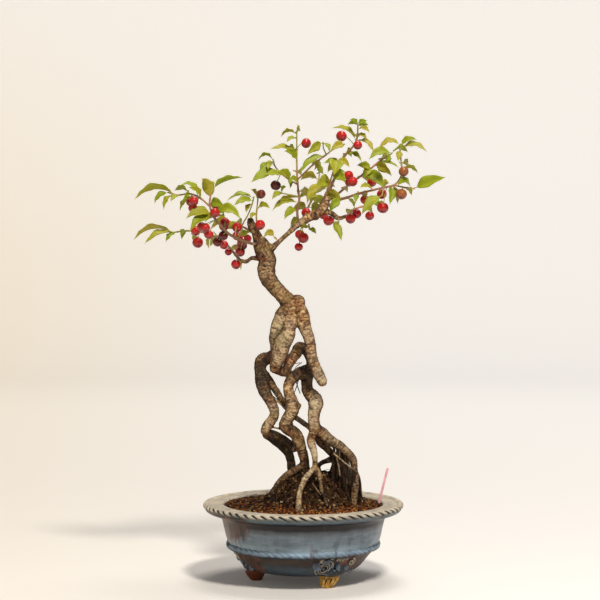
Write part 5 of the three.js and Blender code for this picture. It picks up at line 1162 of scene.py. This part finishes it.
def woodMesh(runs):
    bm = bmesh.new()
    for across, depth, up, radius in knots:
        bmesh.ops.create_uvsphere(bm, u_segments=20, v_segments=14, radius=radius * mm,
                                  matrix=Matrix.Translation(place(across, depth, up) * mm))
    mesh = joinedMesh([meshOf(bm, "knots"), tubes(list(runs.values()), "limbs", 5)], "tree_wood_bark")
    return remeshed(mesh, bark["voxel"], bark["rounds"], "tree_wood_bark")


def barkedMesh(runs):  # bark that swells, sinks and wrinkles round the limbs
    mesh = woodMesh(runs)
    samples = []
    for name, run in runs.items():
        far = 0
        for i, (spot, radius) in enumerate(run):
            far += (spot - run[i - 1][0]).length if i else 0
            samples.append((spot, far, radius, name))
    tree = KDTree(len(samples))
    for i, (spot, _, _, _) in enumerate(samples):
        tree.insert(spot, i)
    tree.balance()
    spots = corners(mesh) / mm
    flat = np.empty(len(spots) * 3)
    mesh.vertices.foreach_get("normal", flat)
    normals = flat.reshape(-1, 3)
    along = np.empty(len(spots))
    girth = np.empty(len(spots))
    for i, spot in enumerate(spots):
        found = tree.find_n(Vector(spot), 2)
        first, second = (samples[f[1]] for f in found)
        span = max(first[1], second[1]) - min(first[1], second[1])
        if first[3] == second[3] and span > 1e-3:
            line = (second[0] - first[0])
            share = (Vector(spot) - first[0]).dot(line) / max(line.length_squared, 1e-6)
            along[i] = first[1] + (second[1] - first[1]) * min(max(share, -1), 1)
        else:
            along[i] = first[1]
        girth[i] = first[2]
    swell = np.zeros(len(spots))
    for reach, size in bark["lumps"]:
        swell += reach * np.minimum(girth / 4, 1) * wander(spots, 1, size, 31)
    rings = np.sin(along * math.tau / 1.9 + 3 * wander(spots, 1, 4, 12))
    swell += bark["rings"] * rings * (0.35 + 0.65 * np.clip(wander(spots, 1, 11, 8) + 0.5, 0, 1))
    moved(mesh, spots + normals * swell[:, None])
    setNumbers(mesh, "relief", hollows(mesh, 3))
    setNumbers(mesh, "along", along * mm)
    for zone in ("dark", "pale"):
        total = np.zeros(len(spots))
        for across, depth, up, reach, strength in bark[zone]:
            apart = np.sqrt(((spots - place(across, depth, up)) ** 2).sum(1)) - 0.8 * girth
            total = np.maximum(total, strength * np.exp(-(np.maximum(apart, 0) / reach) ** 2))
        setNumbers(mesh, zone, total)
    # painted light: lighter where the bark faces the front, a little less where it faces the back, and where it
    # faces up
    sunny = 0.5 + 0.5 * np.abs(normals[:, 1]) * np.where(normals[:, 1] < 0, 1, 0.84) + 0.15 * normals[:, 2]
    setNumbers(mesh, "sunny", np.clip(sunny, 0, 1))
    return mesh


def barkMaterial():  # cherry bark: grey-brown and satin, with fine cross rings and pale lenticels; painted shade in its hollows and on its sides, painted light in front
    material, tree, spot = startMaterial("cherry_bark")
    axes = addNode(tree, "SeparateXYZ", {}, {"Vector": spot})
    along = addNode(tree, "Attribute", {"attribute_name": "along"})
    relief = addNode(tree, "Attribute", {"attribute_name": "relief"})
    cloud = addNode(tree, "TexNoise", {"Scale": 1 / 0.016, "Detail": 5, "Roughness": 0.6}, {"Vector": spot})
    fine = addNode(tree, "TexNoise", {"Scale": 1 / 0.0022, "Detail": 5, "Roughness": 0.68}, {"Vector": spot})
    across = addNode(tree, "Math", {"operation": "MULTIPLY", "Value_001": 4.5}, {"Value": along})
    wide = addNode(tree, "CombineXYZ", {}, {"X": across, "Y": axes.outputs["X"], "Z": axes.outputs["Y"]})
    rings = addNode(tree, "TexNoise", {"Scale": 1 / 0.0068, "Detail": 3, "Roughness": 0.55}, {"Vector": wide})
    blotch = addNode(tree, "TexNoise", {"Scale": 1 / 0.0058, "Detail": 4, "Roughness": 0.62},
        {"Vector": spot})
    level = rings
    for noiseNode, weight in ((cloud, 0.6), (blotch, 0.7), (fine, 1.2)):
        level = addNode(tree, "Math", {"operation": "MULTIPLY_ADD", "Value_001": weight},
            {"Value": noiseNode, "Value_002": level})
    even = addNode(tree, "MapRange", {"range": (0, 3.5)}, {"Value": level})
    stops = [(0.41, "#1F1108"), (0.45, "#54321A"), (0.478, "#7A4F2B"), (0.505, "#9C6E3C"), (0.535, "#C0935A"),
             (0.585, "#EACF98")]
    skin = addNode(tree, "ValToRGB", {"stops": stops}, {"Fac": even})
    # reddish brown here and there
    elsewhere = addNode(tree, "Mapping", {"Location": (0.1, 0.7, 0.3)}, {"Vector": spot})
    warmCloud = addNode(tree, "TexNoise", {"Scale": 1 / 0.0095, "Detail": 4}, {"Vector": elsewhere})
    warmMask = addNode(tree, "ValToRGB", {"stops": [(0.48, 0.0), (0.62, 0.75)]}, {"Fac": warmCloud})
    warmed = addNode(tree, "Mix", {"blend_type": "MULTIPLY", "B_Color": "#D09468"},
        {"A_Color": skin, "Factor_Float": warmMask})
    # crests pale, from wear and from painted highlight, most of all where the roots stand out to the front
    crest = addNode(tree, "MapRange", {"range": (0.55, 1, 0, 0.3)}, {"Value": relief})
    pale = addNode(tree, "Attribute", {"attribute_name": "pale"})
    paleLevel = addNode(tree, "Math", {"operation": "MULTIPLY_ADD", "Value_001": 0.62, "use_clamp": True},
        {"Value": pale, "Value_002": crest})
    speckled = addNode(tree, "MapRange", {"range": (0.45, 0.53, 0.2, 1)}, {"Value": even})
    paleAmount = addNode(tree, "Math", {"operation": "MULTIPLY"}, {"Value": paleLevel, "Value_001": speckled})
    wornAndLit = addNode(tree, "Mix", {"B_Color": "#E0D0AC"}, {"A_Color": warmed, "Factor_Float": paleAmount})
    # a green film here and there
    shifted = addNode(tree, "Mapping", {"Location": (0.4, 0.1, 0.2)}, {"Vector": spot})
    film = addNode(tree, "TexNoise", {"Scale": 1 / 0.015, "Detail": 5, "Roughness": 0.6}, {"Vector": shifted})
    filmMask = addNode(tree, "ValToRGB", {"stops": [(0.5, 0.0), (0.66, 0.42)]}, {"Fac": film})
    filmed = addNode(tree, "Mix", {"B_Color": "#76703A"}, {"A_Color": wornAndLit, "Factor_Float": filmMask})
    # nearly black: painted shade in the hollows, and the dark zones, partly dark damp wood and partly painted
    # shade on the low and back roots
    hollow = addNode(tree, "MapRange", {"range": (0.48, 0.08, 0, 0.75)}, {"Value": relief})
    dark = addNode(tree, "Attribute", {"attribute_name": "dark"})
    darkLevel = addNode(tree, "Math",
        {"operation": "MULTIPLY_ADD", "Value_001": 1.15, "Value_002": -0.08, "use_clamp": True},
        {"Value": dark})
    most = addNode(tree, "Math", {"operation": "MAXIMUM"}, {"Value": darkLevel, "Value_001": hollow})
    ragged = addNode(tree, "MapRange", {"range": (0.3, 0.55, 1, 0.84)}, {"Value": blotch})
    darkAmount = addNode(tree, "Math", {"operation": "MULTIPLY"}, {"Value": most, "Value_001": ragged})
    dampAndShaded = addNode(tree, "Mix", {"B_Color": "#1C110A"}, {"A_Color": filmed, "Factor_Float": darkAmount})
    # painted light: darker on the sides, lighter in front
    sunny = addNode(tree, "Attribute", {"attribute_name": "sunny"})
    sideShade = addNode(tree, "ValToRGB", {"stops": [(0.3, "#543B2B"), (0.64, "#947759"), (0.92, "#FFFFFF")]},
        {"Fac": sunny})
    sided = addNode(tree, "Mix", {"blend_type": "MULTIPLY", "Factor_Float": 1.0},
        {"A_Color": dampAndShaded, "B_Color": sideShade})
    # lenticels: short pale dashes across the limb
    dashes = addNode(tree, "TexVoronoi", {"Scale": 1 / 0.0048, "Randomness": 1.0}, {"Vector": wide})
    dash = addNode(tree, "ValToRGB", {"stops": [(0.1, 0.45), (0.2, 0.0)]}, {"Fac": dashes})
    colour = addNode(tree, "Mix", {"B_Color": "#D9C6A2"}, {"A_Color": sided, "Factor_Float": dash})
    rough = addNode(tree, "MapRange", {"range": (0, 1, 0.55, 0.9)}, {"Value": fine})
    bump = addNode(tree, "Bump", {"Strength": 0.9, "Distance": 0.0013}, {"Height": level})
    return endMaterial(material, {"Specular IOR Level": 0.35},
        {"Base Color": colour, "Roughness": rough, "Normal": bump})


tangle = {
    "seed": 8, "dark": 84, "pale": 6, "thick": (0.5, 1.25),
    # the limbs that the thin roots hang from, and the stretch of each
    "from": [("rightFoot", 0.12, 0.6), ("rightFoot", 0.12, 0.6), ("small3", 0.25, 0.75), ("small4", 0.1, 0.5),
             ("small10", 0.1, 0.6)],
    "clear": [(19.5, 123.5, 3.5), (24, 115, 4.5), (46, 106.5, 3)],  # gaps left between them: across, up, reach
    "straws": [  # pale roots that lie across the others
        [(-17.3, -36, 79, 0.5), (-13, -38, 82.5, 0.5), (-9.3, -40, 83, 0.4)],
        [(9.2, -30, 97.5, 0.5), (13, -32, 92, 0.5), (17.5, -34, 85.8, 0.4)],
        [(33.4, -16, 123.3, 0.8), (35.5, -18, 114, 0.8), (36.7, -18, 105, 0.6)],
        [(31.7, -15, 126.7, 0.6), (43, -20, 117, 0.5), (53.4, -18, 108.3, 0.5)],
        [(-8.3, 4, 221, 0.5), (-12.3, 0, 214, 0.45), (-14.5, 0, 207, 0.45)],
        [(-1.3, 8, 219, 0.45), (-7.3, 4, 214, 0.45), (-11.5, 0, 206, 0.45)],
        [(-19, 0, 212, 0.45), (-12, -3, 216.5, 0.45), (-3.5, 4, 218.5, 0.4)]],
    "threads": [  # dark ones
        [(-8, 0, 203, 0.6), (-5.5, -2, 194, 0.55), (-3, 0, 187.5, 0.45)],
        [(-4, 3, 205, 0.6), (-6.3, 0, 196, 0.55), (-8.5, -2, 189.5, 0.45)],
        [(-36, 2, 190, 0.6), (-29, 4, 184, 0.55), (-20, 4, 177, 0.5), (-16, 0, 172, 0.5)]],
}


def hangingRun(chance, runs):  # one thin root that wanders down from a limb into the mound
    name, low, high = chance.choice(tangle["from"])
    run = runs[name]
    spot, radius = run[int(chance.uniform(low, high) * (len(run) - 1))]
    thick = chance.uniform(*tangle["thick"])
    lean, back = chance.uniform(-8, 9), chance.uniform(4, 16)
    bow, phase, beat = chance.uniform(0.4, 2.2), chance.uniform(0, math.tau), chance.uniform(3, 8)
    drop = spot.z - 80
    found = []
    for i in range(15):
        share = i / 14
        found.append((spot + Vector((
            lean * share ** 1.4 + bow * (math.sin(phase + beat * share) - math.sin(phase)),
            back * share + 0.7 * bow * math.sin(2 * phase + beat * 0.8 * share) * share,
            -radius * 0.3 - drop * share)), thick * (1.1 - 0.5 * share)))
    return found


def tangleMesh(runs):
    chance = random.Random(tangle["seed"])
    found = []
    while len(found) < tangle["dark"] + tangle["pale"]:
        run = hangingRun(chance, runs)
        blocked = any(math.hypot(spot.x - place(across, 0, up).x, spot.z - place(across, 0, up).z) < reach
                      for spot, _ in run for across, up, reach in tangle["clear"])
        if not blocked:
            found.append(run)
    pale = found[tangle["dark"]:] + [route(points) for points in tangle["straws"]]
    dark = found[:tangle["dark"]] + [route(points) for points in tangle["threads"]]
    meshes = []
    for group, darkness, paleness in ((dark, 0.95, 0.0), (pale, 0.0, 1.0)):
        mesh = tubes(group, "hanging", 1)
        values = {"relief": 0.5, "along": 0.0, "sunny": 0.8, "dark": darkness, "pale": paleness}
        for name, value in values.items():
            setNumbers(mesh, name, np.full(len(mesh.vertices), value))
        meshes.append(mesh)
    return joinedMesh(meshes, "tree_wood_threads")


runs = woodRuns()
barkSkin = barkMaterial()
keep(barkedMesh(runs), "tree_wood_bark", ["tree_wood"], [barkSkin])
keep(tangleMesh(runs), "tree_wood_threads", ["tree_wood"], [barkSkin])

print("shoots and leaves")
leaf = {
    "along": 28, "across": 6, "thick": 0.34, "fold": 0.26, "widthPerLength": 0.34,
    "teeth": 15, "tooth": 0.3, "wave": 0.62, "sway": 0.05, "stalk": 0.1,
}


def bladeTurn(line, level, crown, share):
    # how far a blade turns about its own line so that it shows this share of its width to the front
    run = math.hypot(line.x, line.z)
    one = (level.x * line.z - level.z * line.x) / run
    two = (crown.x * line.z - crown.z * line.x) / run
    lead, most = math.atan2(two, one), math.hypot(one, two)
    swing = math.acos(min(share / most, 1))
    turns = [math.atan(math.tan(lead + swing)), math.atan(math.tan(lead - swing))]
    turns.sort(key=lambda turn: crown.y * math.cos(turn) - level.y * math.sin(turn))
    return turns[0] if line.y <= 0 else turns[1]


def bladeOutline(t):  # a leaf's half width along it: a thin stalk, then egg shaped with a long drawn-out tip
    stalk = leaf["stalk"]
    if t < stalk:
        return 0.055
    s = (t - stalk) / (1 - stalk)
    return max(0.055 * (1 - s), (s / 0.34) ** 0.82 * max((1 - s) / 0.66, 0) ** 1.5 * 1.04 if s < 1 else 0)


def bladeSpots(base, tip, shown, arch, grid, chance):  # where the grid of one leaf goes, in mm
    line = tip - base
    length = line.length
    line = line / length
    width = max(shown, leaf["widthPerLength"] * length + 1)
    level = line.cross(Vector((0, 0, 1))).normalized()
    crown = level.cross(line)
    turn = bladeTurn(line, level, crown, shown / width) + chance.uniform(-0.06, 0.06)
    side = level * math.cos(turn) + crown * math.sin(turn)
    twist = chance.uniform(-0.3, 0.3)
    waves = chance.uniform(2, 3.4)
    phase = chance.uniform(0, math.tau)
    curl = chance.uniform(0.2, 1.2)
    sway = chance.uniform(-1, 1) * leaf["sway"] * length
    spots = []
    for t, v in grid:
        slope = (line * length + crown * arch * 4 * (1 - 2 * t)).normalized()
        out = (side - slope * side.dot(slope)).normalized()
        face = out.cross(slope)
        bend = twist * (t - 0.4)
        out, face = out * math.cos(bend) + face * math.sin(bend), face * math.cos(bend) - out * math.sin(bend)
        half = bladeOutline(t) * width / 2
        edge = abs(v)
        blade = max(0, (t - leaf["stalk"]) / (1 - leaf["stalk"]))
        saw = (blade * leaf["teeth"]) % 1
        tooth = leaf["tooth"] * edge ** 6 * (1 - saw if half > 0.7 else 0)
        rise = edge * half * 2 * leaf["fold"]
        wave = math.sin(waves * math.tau * blade + phase + (v > 0) * 1.3)
        rise += leaf["wave"] * edge ** 2 * wave * min(half / 3, 1)
        rise -= curl * 0.25 * edge ** 3 * half / 3
        rise += 0.22 * abs(math.sin((blade * 7 - edge * 0.9) * math.pi)) * min(half / 4, 1) * (0.2 + edge) * 0.8
        spot = base + line * (length * t) + crown * (arch * 4 * t * (1 - t))
        spot += side * (sway * math.sin(math.pi * t))
        spots.append(spot + out * (v * half + math.copysign(tooth, v)) + face * rise)
    return spots


def shootPieces(name, plan):
    chance = random.Random(name)
    twigRuns = [route(points, 6) for points in plan["twigs"]]
    samples = [sample for run in twigRuns for sample in run]
    bm = bmesh.new()
    bmesh.ops.create_grid(bm, x_segments=leaf["along"], y_segments=leaf["across"], size=0.5, calc_uvs=True)
    blade = meshOf(bm, "blade")
    grid = [(0.5 + x, 2 * y) for x, y, _ in corners(blade)]
    count = len(plan["leaves"])
    mesh = repeated(blade, count)
    spots, tones, bases = [], [], []
    for bx, by, bz, tx, ty, tz, shown, arch in plan["leaves"]:
        wanted = place(bx, by, bz)
        base = min(samples, key=lambda sample: (sample[0] - wanted).length)
        bases.append(base)
        spots += bladeSpots(base[0], place(tx, ty, tz), shown, arch, grid, chance)
        tones += [chance.random()] * len(grid)
    moved(mesh, [tuple(s) for s in spots])
    setNumbers(mesh, "tone", tones)
    thing = linked(mesh)
    thing.data.materials.append(None)
    thing.data.materials.append(None)
    shell = thing.modifiers.new("shell", "SOLIDIFY")
    shell.thickness = leaf["thick"] * mm
    shell.offset = 0
    shell.material_offset = 1
    shell.material_offset_rim = 0
    leaves = applied(thing)
    leaves.materials.clear()
    keep(shaded(leaves), "leaves_" + name, ["spray_" + name], [leafTop, leafUnder])

    # the twigs, a little swollen under each leaf, with a bud in each axil
    runs = []
    for run in twigRuns:
        shaped = []
        for spot, radius in run:
            close = min((spot - base[0]).length for base in bases)
            shaped.append((spot, radius * (1 + 0.22 * math.exp(-(close / 1.6) ** 2))))
        runs.append(roundEnd(shaped, 0.8))
    bm = bmesh.new()
    for i, (spot, radius) in enumerate(bases):
        tx, ty, tz = plan["leaves"][i][3:6]
        onward = (place(tx, ty, tz) - spot).normalized()
        turn = Vector((0, 0, 1)).rotation_difference((onward + Vector((0, 0, 0.9))).normalized())
        at = Matrix.Translation((spot + (onward + Vector((0, 0, 0.7))) * radius * 0.8) * mm)
        at @= turn.to_matrix().to_4x4() @ Matrix.Diagonal((0.5 * mm, 0.5 * mm, 1.0 * mm, 1))
        bmesh.ops.create_uvsphere(bm, u_segments=6, v_segments=5, radius=1, matrix=at)
    twigs = joinedMesh([tubes(runs, "twigs", 2), meshOf(bm, "buds")], "twigs")
    spots = corners(twigs) / mm
    tree = KDTree(len(samples))
    for i, (spot, radius) in enumerate(samples):
        tree.insert(spot, i)
    tree.balance()
    setNumbers(twigs, "tone", [samples[tree.find(Vector(s))[1]][1] / 2 for s in spots])
    keep(twigs, "twigs_" + name, ["spray_" + name], [twigSkin])


def leafMaterial(name, low, middle, high, rib, ribWidth, bumpDepth):
    # a thin living blade: soft sheen, pale midrib and side veins, yellower towards its edge
    material, tree, spot = startMaterial(name)
    flat = addNode(tree, "SeparateXYZ", {}, {"Vector": spot.outputs["UV"]})
    tone = addNode(tree, "Attribute", {"attribute_name": "tone"})
    width = addNode(tree, "Math", {"operation": "MULTIPLY_ADD", "Value_001": 2.0, "Value_002": -1.0},
        {"Value": flat.outputs["Y"]})
    edge = addNode(tree, "Math", {"operation": "ABSOLUTE"}, {"Value": width})
    midrib = addNode(tree, "MapRange", {"range": (ribWidth, ribWidth * 0.3)}, {"Value": edge})
    # nine veins on each side run forwards from the midrib
    forwards = addNode(tree, "Math", {"operation": "MULTIPLY_ADD", "Value_001": -0.13},
        {"Value": edge, "Value_002": flat.outputs["X"]})
    counted = addNode(tree, "Math", {"operation": "MULTIPLY", "Value_001": 9.0}, {"Value": forwards})
    wave = addNode(tree, "Math", {"operation": "PINGPONG", "Value_001": 0.5}, {"Value": counted})
    sideVein = addNode(tree, "MapRange", {"range": (0.1, 0, 0, 0.7)}, {"Value": wave})
    veins = addNode(tree, "Math", {"operation": "MAXIMUM"}, {"Value": midrib, "Value_001": sideVein})
    cloud = addNode(tree, "TexNoise", {"Scale": 1 / 0.006, "Detail": 4, "Roughness": 0.6}, {"Vector": spot})
    halfCloud = addNode(tree, "Math", {"operation": "MULTIPLY", "Value_001": 0.5}, {"Value": cloud})
    mixed = addNode(tree, "Math", {"operation": "MULTIPLY_ADD", "Value_001": 0.62},
        {"Value": tone, "Value_002": halfCloud})
    base = addNode(tree, "ValToRGB", {"stops": [(0.18, low), (0.5, middle), (0.85, high)]}, {"Fac": mixed})
    yellow = addNode(tree, "MapRange", {"range": (0.55, 1, 0, 0.35)}, {"Value": edge})
    edged = addNode(tree, "Mix", {"B_Color": high}, {"A_Color": base, "Factor_Float": yellow})
    # the oldest leaves turn brown along the edge
    old = addNode(tree, "MapRange", {"range": (0.9, 1, 0, 0.45)}, {"Value": edge})
    brown = addNode(tree, "Math", {"operation": "MULTIPLY"}, {"Value": old, "Value_001": tone})
    browned = addNode(tree, "Mix", {"B_Color": "#9A6A30"}, {"A_Color": edged, "Factor_Float": brown})
    veinShare = addNode(tree, "Math", {"operation": "MULTIPLY", "Value_001": 0.65}, {"Value": veins})
    veined = addNode(tree, "Mix", {"B_Color": rib}, {"A_Color": browned, "Factor_Float": veinShare})
    cells = addNode(tree, "TexVoronoi", {"Scale": 1 / 0.0012}, {"Vector": spot})
    height = addNode(tree, "Math", {"operation": "MULTIPLY_ADD", "Value_001": 0.25},
        {"Value": cells, "Value_002": veins})
    bump = addNode(tree, "Bump", {"Strength": 0.5, "Distance": bumpDepth}, {"Height": height})
    settings = {"Roughness": 0.5, "Specular IOR Level": 0.32, "Subsurface Weight": 0.12,
                "Subsurface Radius": (0.6, 1.0, 0.2), "Subsurface Scale": 0.0008}
    return endMaterial(material, settings, {"Base Color": veined, "Normal": bump})


def twigMaterial():  # young wood: brown at the foot of a shoot, salmon, then green at its tip
    material, tree, spot = startMaterial("young_twig")
    tone = addNode(tree, "Attribute", {"attribute_name": "tone"})
    cloud = addNode(tree, "TexNoise", {"Scale": 1 / 0.009, "Detail": 4}, {"Vector": spot})
    level = addNode(tree, "Math", {"operation": "MULTIPLY_ADD", "Value_001": 0.25},
        {"Value": cloud, "Value_002": tone})
    stops = [(0.42, "#8C963F"), (0.52, "#A98E50"), (0.6, "#B07A56"), (0.72, "#8A6242"), (0.85, "#75543B")]
    colour = addNode(tree, "ValToRGB", {"stops": stops}, {"Fac": level})
    bump = addNode(tree, "Bump", {"Strength": 0.3, "Distance": 0.0003}, {"Height": cloud})
    return endMaterial(material, {"Roughness": 0.5}, {"Base Color": colour, "Normal": bump})


leafTop = leafMaterial("leaf_upper", "#677F10", "#889A10", "#AAB01C", "#C6C660", 0.07, 0.0004)
leafUnder = leafMaterial("leaf_under", "#7F922E", "#95A43C", "#AEB74E", "#CACE84", 0.1, -0.0004)
twigSkin = twigMaterial()
for shootName, shootPlan in shoots.items():
    shootPieces(shootName, shootPlan)

print("cherries")
fruit = {
    "round": 26, "rows": 18, "stalk": 0.42, "oval": 0.96,
    "ripeness": (0.86, 0.9, 0.94, 0.98, 1.0),  # most bunches are one of these reds
    "turning": {11: 0.5, 17: 0.24, 26: 0.24, 27: 0.22},  # brown, or orange and still turning red
    # these bunches a darker red, down to nearly black
    "darkRed": {4: 0.8, 5: 0.66, 8: 0.76, 9: 0.88, 12: 0.58, 23: 0.86},
}


def cherrySpots(sphere, centre, radius, up):  # a round fruit with a dimple at its stalk and a faint seam
    turn = Vector((0, 0, 1)).rotation_difference(up)
    spots = []
    for x, y, z in sphere:
        polar = math.acos(max(-1, min(1, z)))
        dimple = 0.2 * math.exp(-(polar / 0.36) ** 2)
        seam = 0.02 * math.exp(-(math.atan2(y, x) / 0.22) ** 2) * math.sin(polar)
        foot = 0.05 * math.exp(-((math.pi - polar) / 0.16) ** 2)
        reach = radius * (1 - dimple - seam - foot)
        spots.append(centre + turn @ Vector((x * reach, y * reach, z * reach * fruit["oval"])))
    return spots


def bunchPieces(number, root, cherries):
    chance = random.Random(100 + number)
    across, depth, up, carrier = root
    foot = place(across, depth, up)
    centres = [place(*cherry[:3]) for cherry in cherries]
    middle = sum(centres, Vector()) / len(centres)
    away = (middle - foot).normalized()
    bud = foot + away * (carrier * 0.6)
    bm = bmesh.new()
    bmesh.ops.create_uvsphere(bm, u_segments=fruit["round"], v_segments=fruit["rows"], radius=1)
    ball = meshOf(bm, "cherry")
    sphere = corners(ball)
    mesh = repeated(ball, len(cherries))
    spots, tones, ups, runs = [], [], [], []
    for centre, cherry in zip(centres, cherries):
        radius = cherry[3]
        top = bud - centre
        top.z = max(top.z, 0) + radius * 0.4
        top.normalize()
        spots += cherrySpots(sphere, centre, radius, top)
        ripe = chance.choice(fruit["ripeness"])
        ripe = (fruit["turning"] | fruit["darkRed"]).get(number, ripe)
        tones += [ripe] * len(sphere)
        ups += list((sphere[:, 2] + 1) / 2)
        end = centre + top * radius * 0.74
        lift = (bud + end) / 2 + Vector((0, 0, 0.14 * (bud - end).length))
        run = []
        for i in range(11):
            share = i / 10
            spot = bud * (1 - share) ** 2 + lift * (2 * share * (1 - share)) + end * share ** 2
            flare = 0.35 * math.exp(-((1 - share) / 0.1) ** 2) + 0.3 * math.exp(-(share / 0.08) ** 2)
            run.append((spot, fruit["stalk"] * (1 + flare)))
        runs.append(run)
    moved(mesh, [tuple(s) for s in spots])
    shaded(mesh)
    setNumbers(mesh, "ripe", tones)
    setNumbers(mesh, "end", ups)
    node = "cherries_%02d" % (number + 1)
    keep(mesh, "fruit_%02d" % (number + 1), [node], [cherrySkin])
    keep(tubes(runs, "stalks", 1), "stalks_%02d" % (number + 1), [node], [stalkSkin])


def cherryMaterial():  # taut skin: wet-looking gloss over red flesh, orange and speckled while unripe
    material, tree, spot = startMaterial("cherry_skin")
    ripe = addNode(tree, "Attribute", {"attribute_name": "ripe"})
    end = addNode(tree, "Attribute", {"attribute_name": "end"})
    cloud = addNode(tree, "TexNoise", {"Scale": 1 / 0.0045, "Detail": 3}, {"Vector": spot})
    ripeness = addNode(tree, "Math", {"operation": "MULTIPLY", "Value_001": 0.9}, {"Value": ripe})
    level = addNode(tree, "Math", {"operation": "MULTIPLY_ADD", "Value_001": 0.16},
        {"Value": cloud, "Value_002": ripeness})
    stops = [(0.1, "#6F4A22"), (0.3, "#A45C26"), (0.45, "#94381A"), (0.6, "#3E0A08"), (0.72, "#7E0A0C"),
             (0.85, "#B41210"), (1.0, "#D01C16")]
    colour = addNode(tree, "ValToRGB", {"stops": stops}, {"Fac": level})
    topShade = addNode(tree, "MapRange", {"range": (0.93, 1, 0, 0.6)}, {"Value": end})
    pitted = addNode(tree, "Mix", {"B_Color": "#5A0A0C"}, {"A_Color": colour, "Factor_Float": topShade})
    # painted shade: the underside darker red
    facing = addNode(tree, "SeparateXYZ", {}, {"Vector": spot.outputs["Normal"]})
    under = addNode(tree, "MapRange", {"interpolation_type": "SMOOTHSTEP", "range": (0.35, -0.85, 0, 0.7)},
        {"Value": facing.outputs["Z"]})
    shadedUnderside = addNode(tree, "Mix", {"B_Color": "#4E0508"}, {"A_Color": pitted, "Factor_Float": under})
    dots = addNode(tree, "TexVoronoi", {"Scale": 1 / 0.0011}, {"Vector": spot})
    dotMask = addNode(tree, "ValToRGB", {"stops": [(0.06, 0.42), (0.2, 0.0)]}, {"Fac": dots})
    dotted = addNode(tree, "Mix", {"B_Color": "#E8836A"}, {"A_Color": shadedUnderside, "Factor_Float": dotMask})
    bump = addNode(tree, "Bump", {"Strength": 0.08, "Distance": 0.0003}, {"Height": cloud})
    settings = {"Roughness": 0.3, "IOR": 1.33, "Coat Weight": 0.75, "Coat Roughness": 0.05,
                "Subsurface Weight": 0.06, "Subsurface Radius": (1.0, 0.2, 0.1), "Subsurface Scale": 0.002}
    return endMaterial(material, settings, {"Base Color": dotted, "Normal": bump})


cherrySkin = cherryMaterial()
stalkSkin = cloudedMaterial(  # living green, waxy
    "cherry_stalk", 0.004, 2, [(0.35, "#8B9A3C"), (0.65, "#A8A04A")], {"Roughness": 0.45})
for number, (root, cherries) in enumerate(bunches):
    bunchPieces(number, root, cherries)

print("marker and screen")
stick = {"foot": (75.5, 10, 77), "top": (84.5, 10, 113), "wide": 2.4, "thick": 1.0, "sunk": 10, "point": 5}


def marker():  # a flat stick with a bevelled edge, a point hidden in the soil and a rounded head
    foot, top = place(*stick["foot"]), place(*stick["top"])
    line = (top - foot).normalized()
    length, sunk = (top - foot).length, stick["sunk"]
    bm = bmesh.new()
    bmesh.ops.create_cube(bm, size=1)
    bmesh.ops.scale(bm, verts=bm.verts, vec=(stick["wide"], stick["thick"], length + sunk))
    bmesh.ops.translate(bm, verts=bm.verts, vec=(0, 0, (length + sunk) / 2 - sunk))
    bmesh.ops.bisect_plane(bm, geom=bm.verts[:] + bm.edges[:] + bm.faces[:],
                           plane_co=(0, 0, -sunk + stick["point"]), plane_no=(0, 0, 1))
    low = [v for v in bm.verts if v.co.z < -sunk + 1]
    bmesh.ops.scale(bm, verts=low, vec=(0.3, 0.6, 1))
    ends = [e for e in bm.edges if all(v.co.z > length - 0.1 for v in e.verts) and
            abs(e.verts[0].co.x - e.verts[1].co.x) < 0.1]
    bmesh.ops.bevel(bm, geom=ends, offset=0.9, affect="EDGES", segments=4, profile=0.5, material=-1)
    bmesh.ops.bevel(bm, geom=[e for e in bm.edges if e.calc_face_angle(0) > 1], offset=0.14, affect="EDGES",
                    segments=2, profile=0.5, material=-1)
    turn = Vector((0, 0, 1)).rotation_difference(line).to_matrix().to_4x4()
    bmesh.ops.transform(bm, matrix=Matrix.Scale(mm, 4) @ Matrix.Translation(foot) @ turn, verts=bm.verts)
    return meshOf(bm, "marker", False)


polystyrene = cloudedMaterial(  # moulded: pale pink, slightly translucent, scuffed
    "moulded_polystyrene", 0.012, 4, [(0.35, "#F3A9B2"), (0.65, "#FBC9CD")],
    {"Subsurface Weight": 0.15, "Subsurface Scale": 0.001}, (0.28, 0.5))
polythene = cloudedMaterial(  # extruded mesh: black, waxy
    "polythene_mesh", 0.004, 4, [(0.35, "#17181A"), (0.7, "#2B2A28")], {}, (0.4, 0.7))
keep(marker(), "marker_stick", ["marker_pick"], [polystyrene])
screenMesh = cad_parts["drain_screen"]
screenMesh.data.materials.clear()
screenMesh.data.materials.append(polythene)
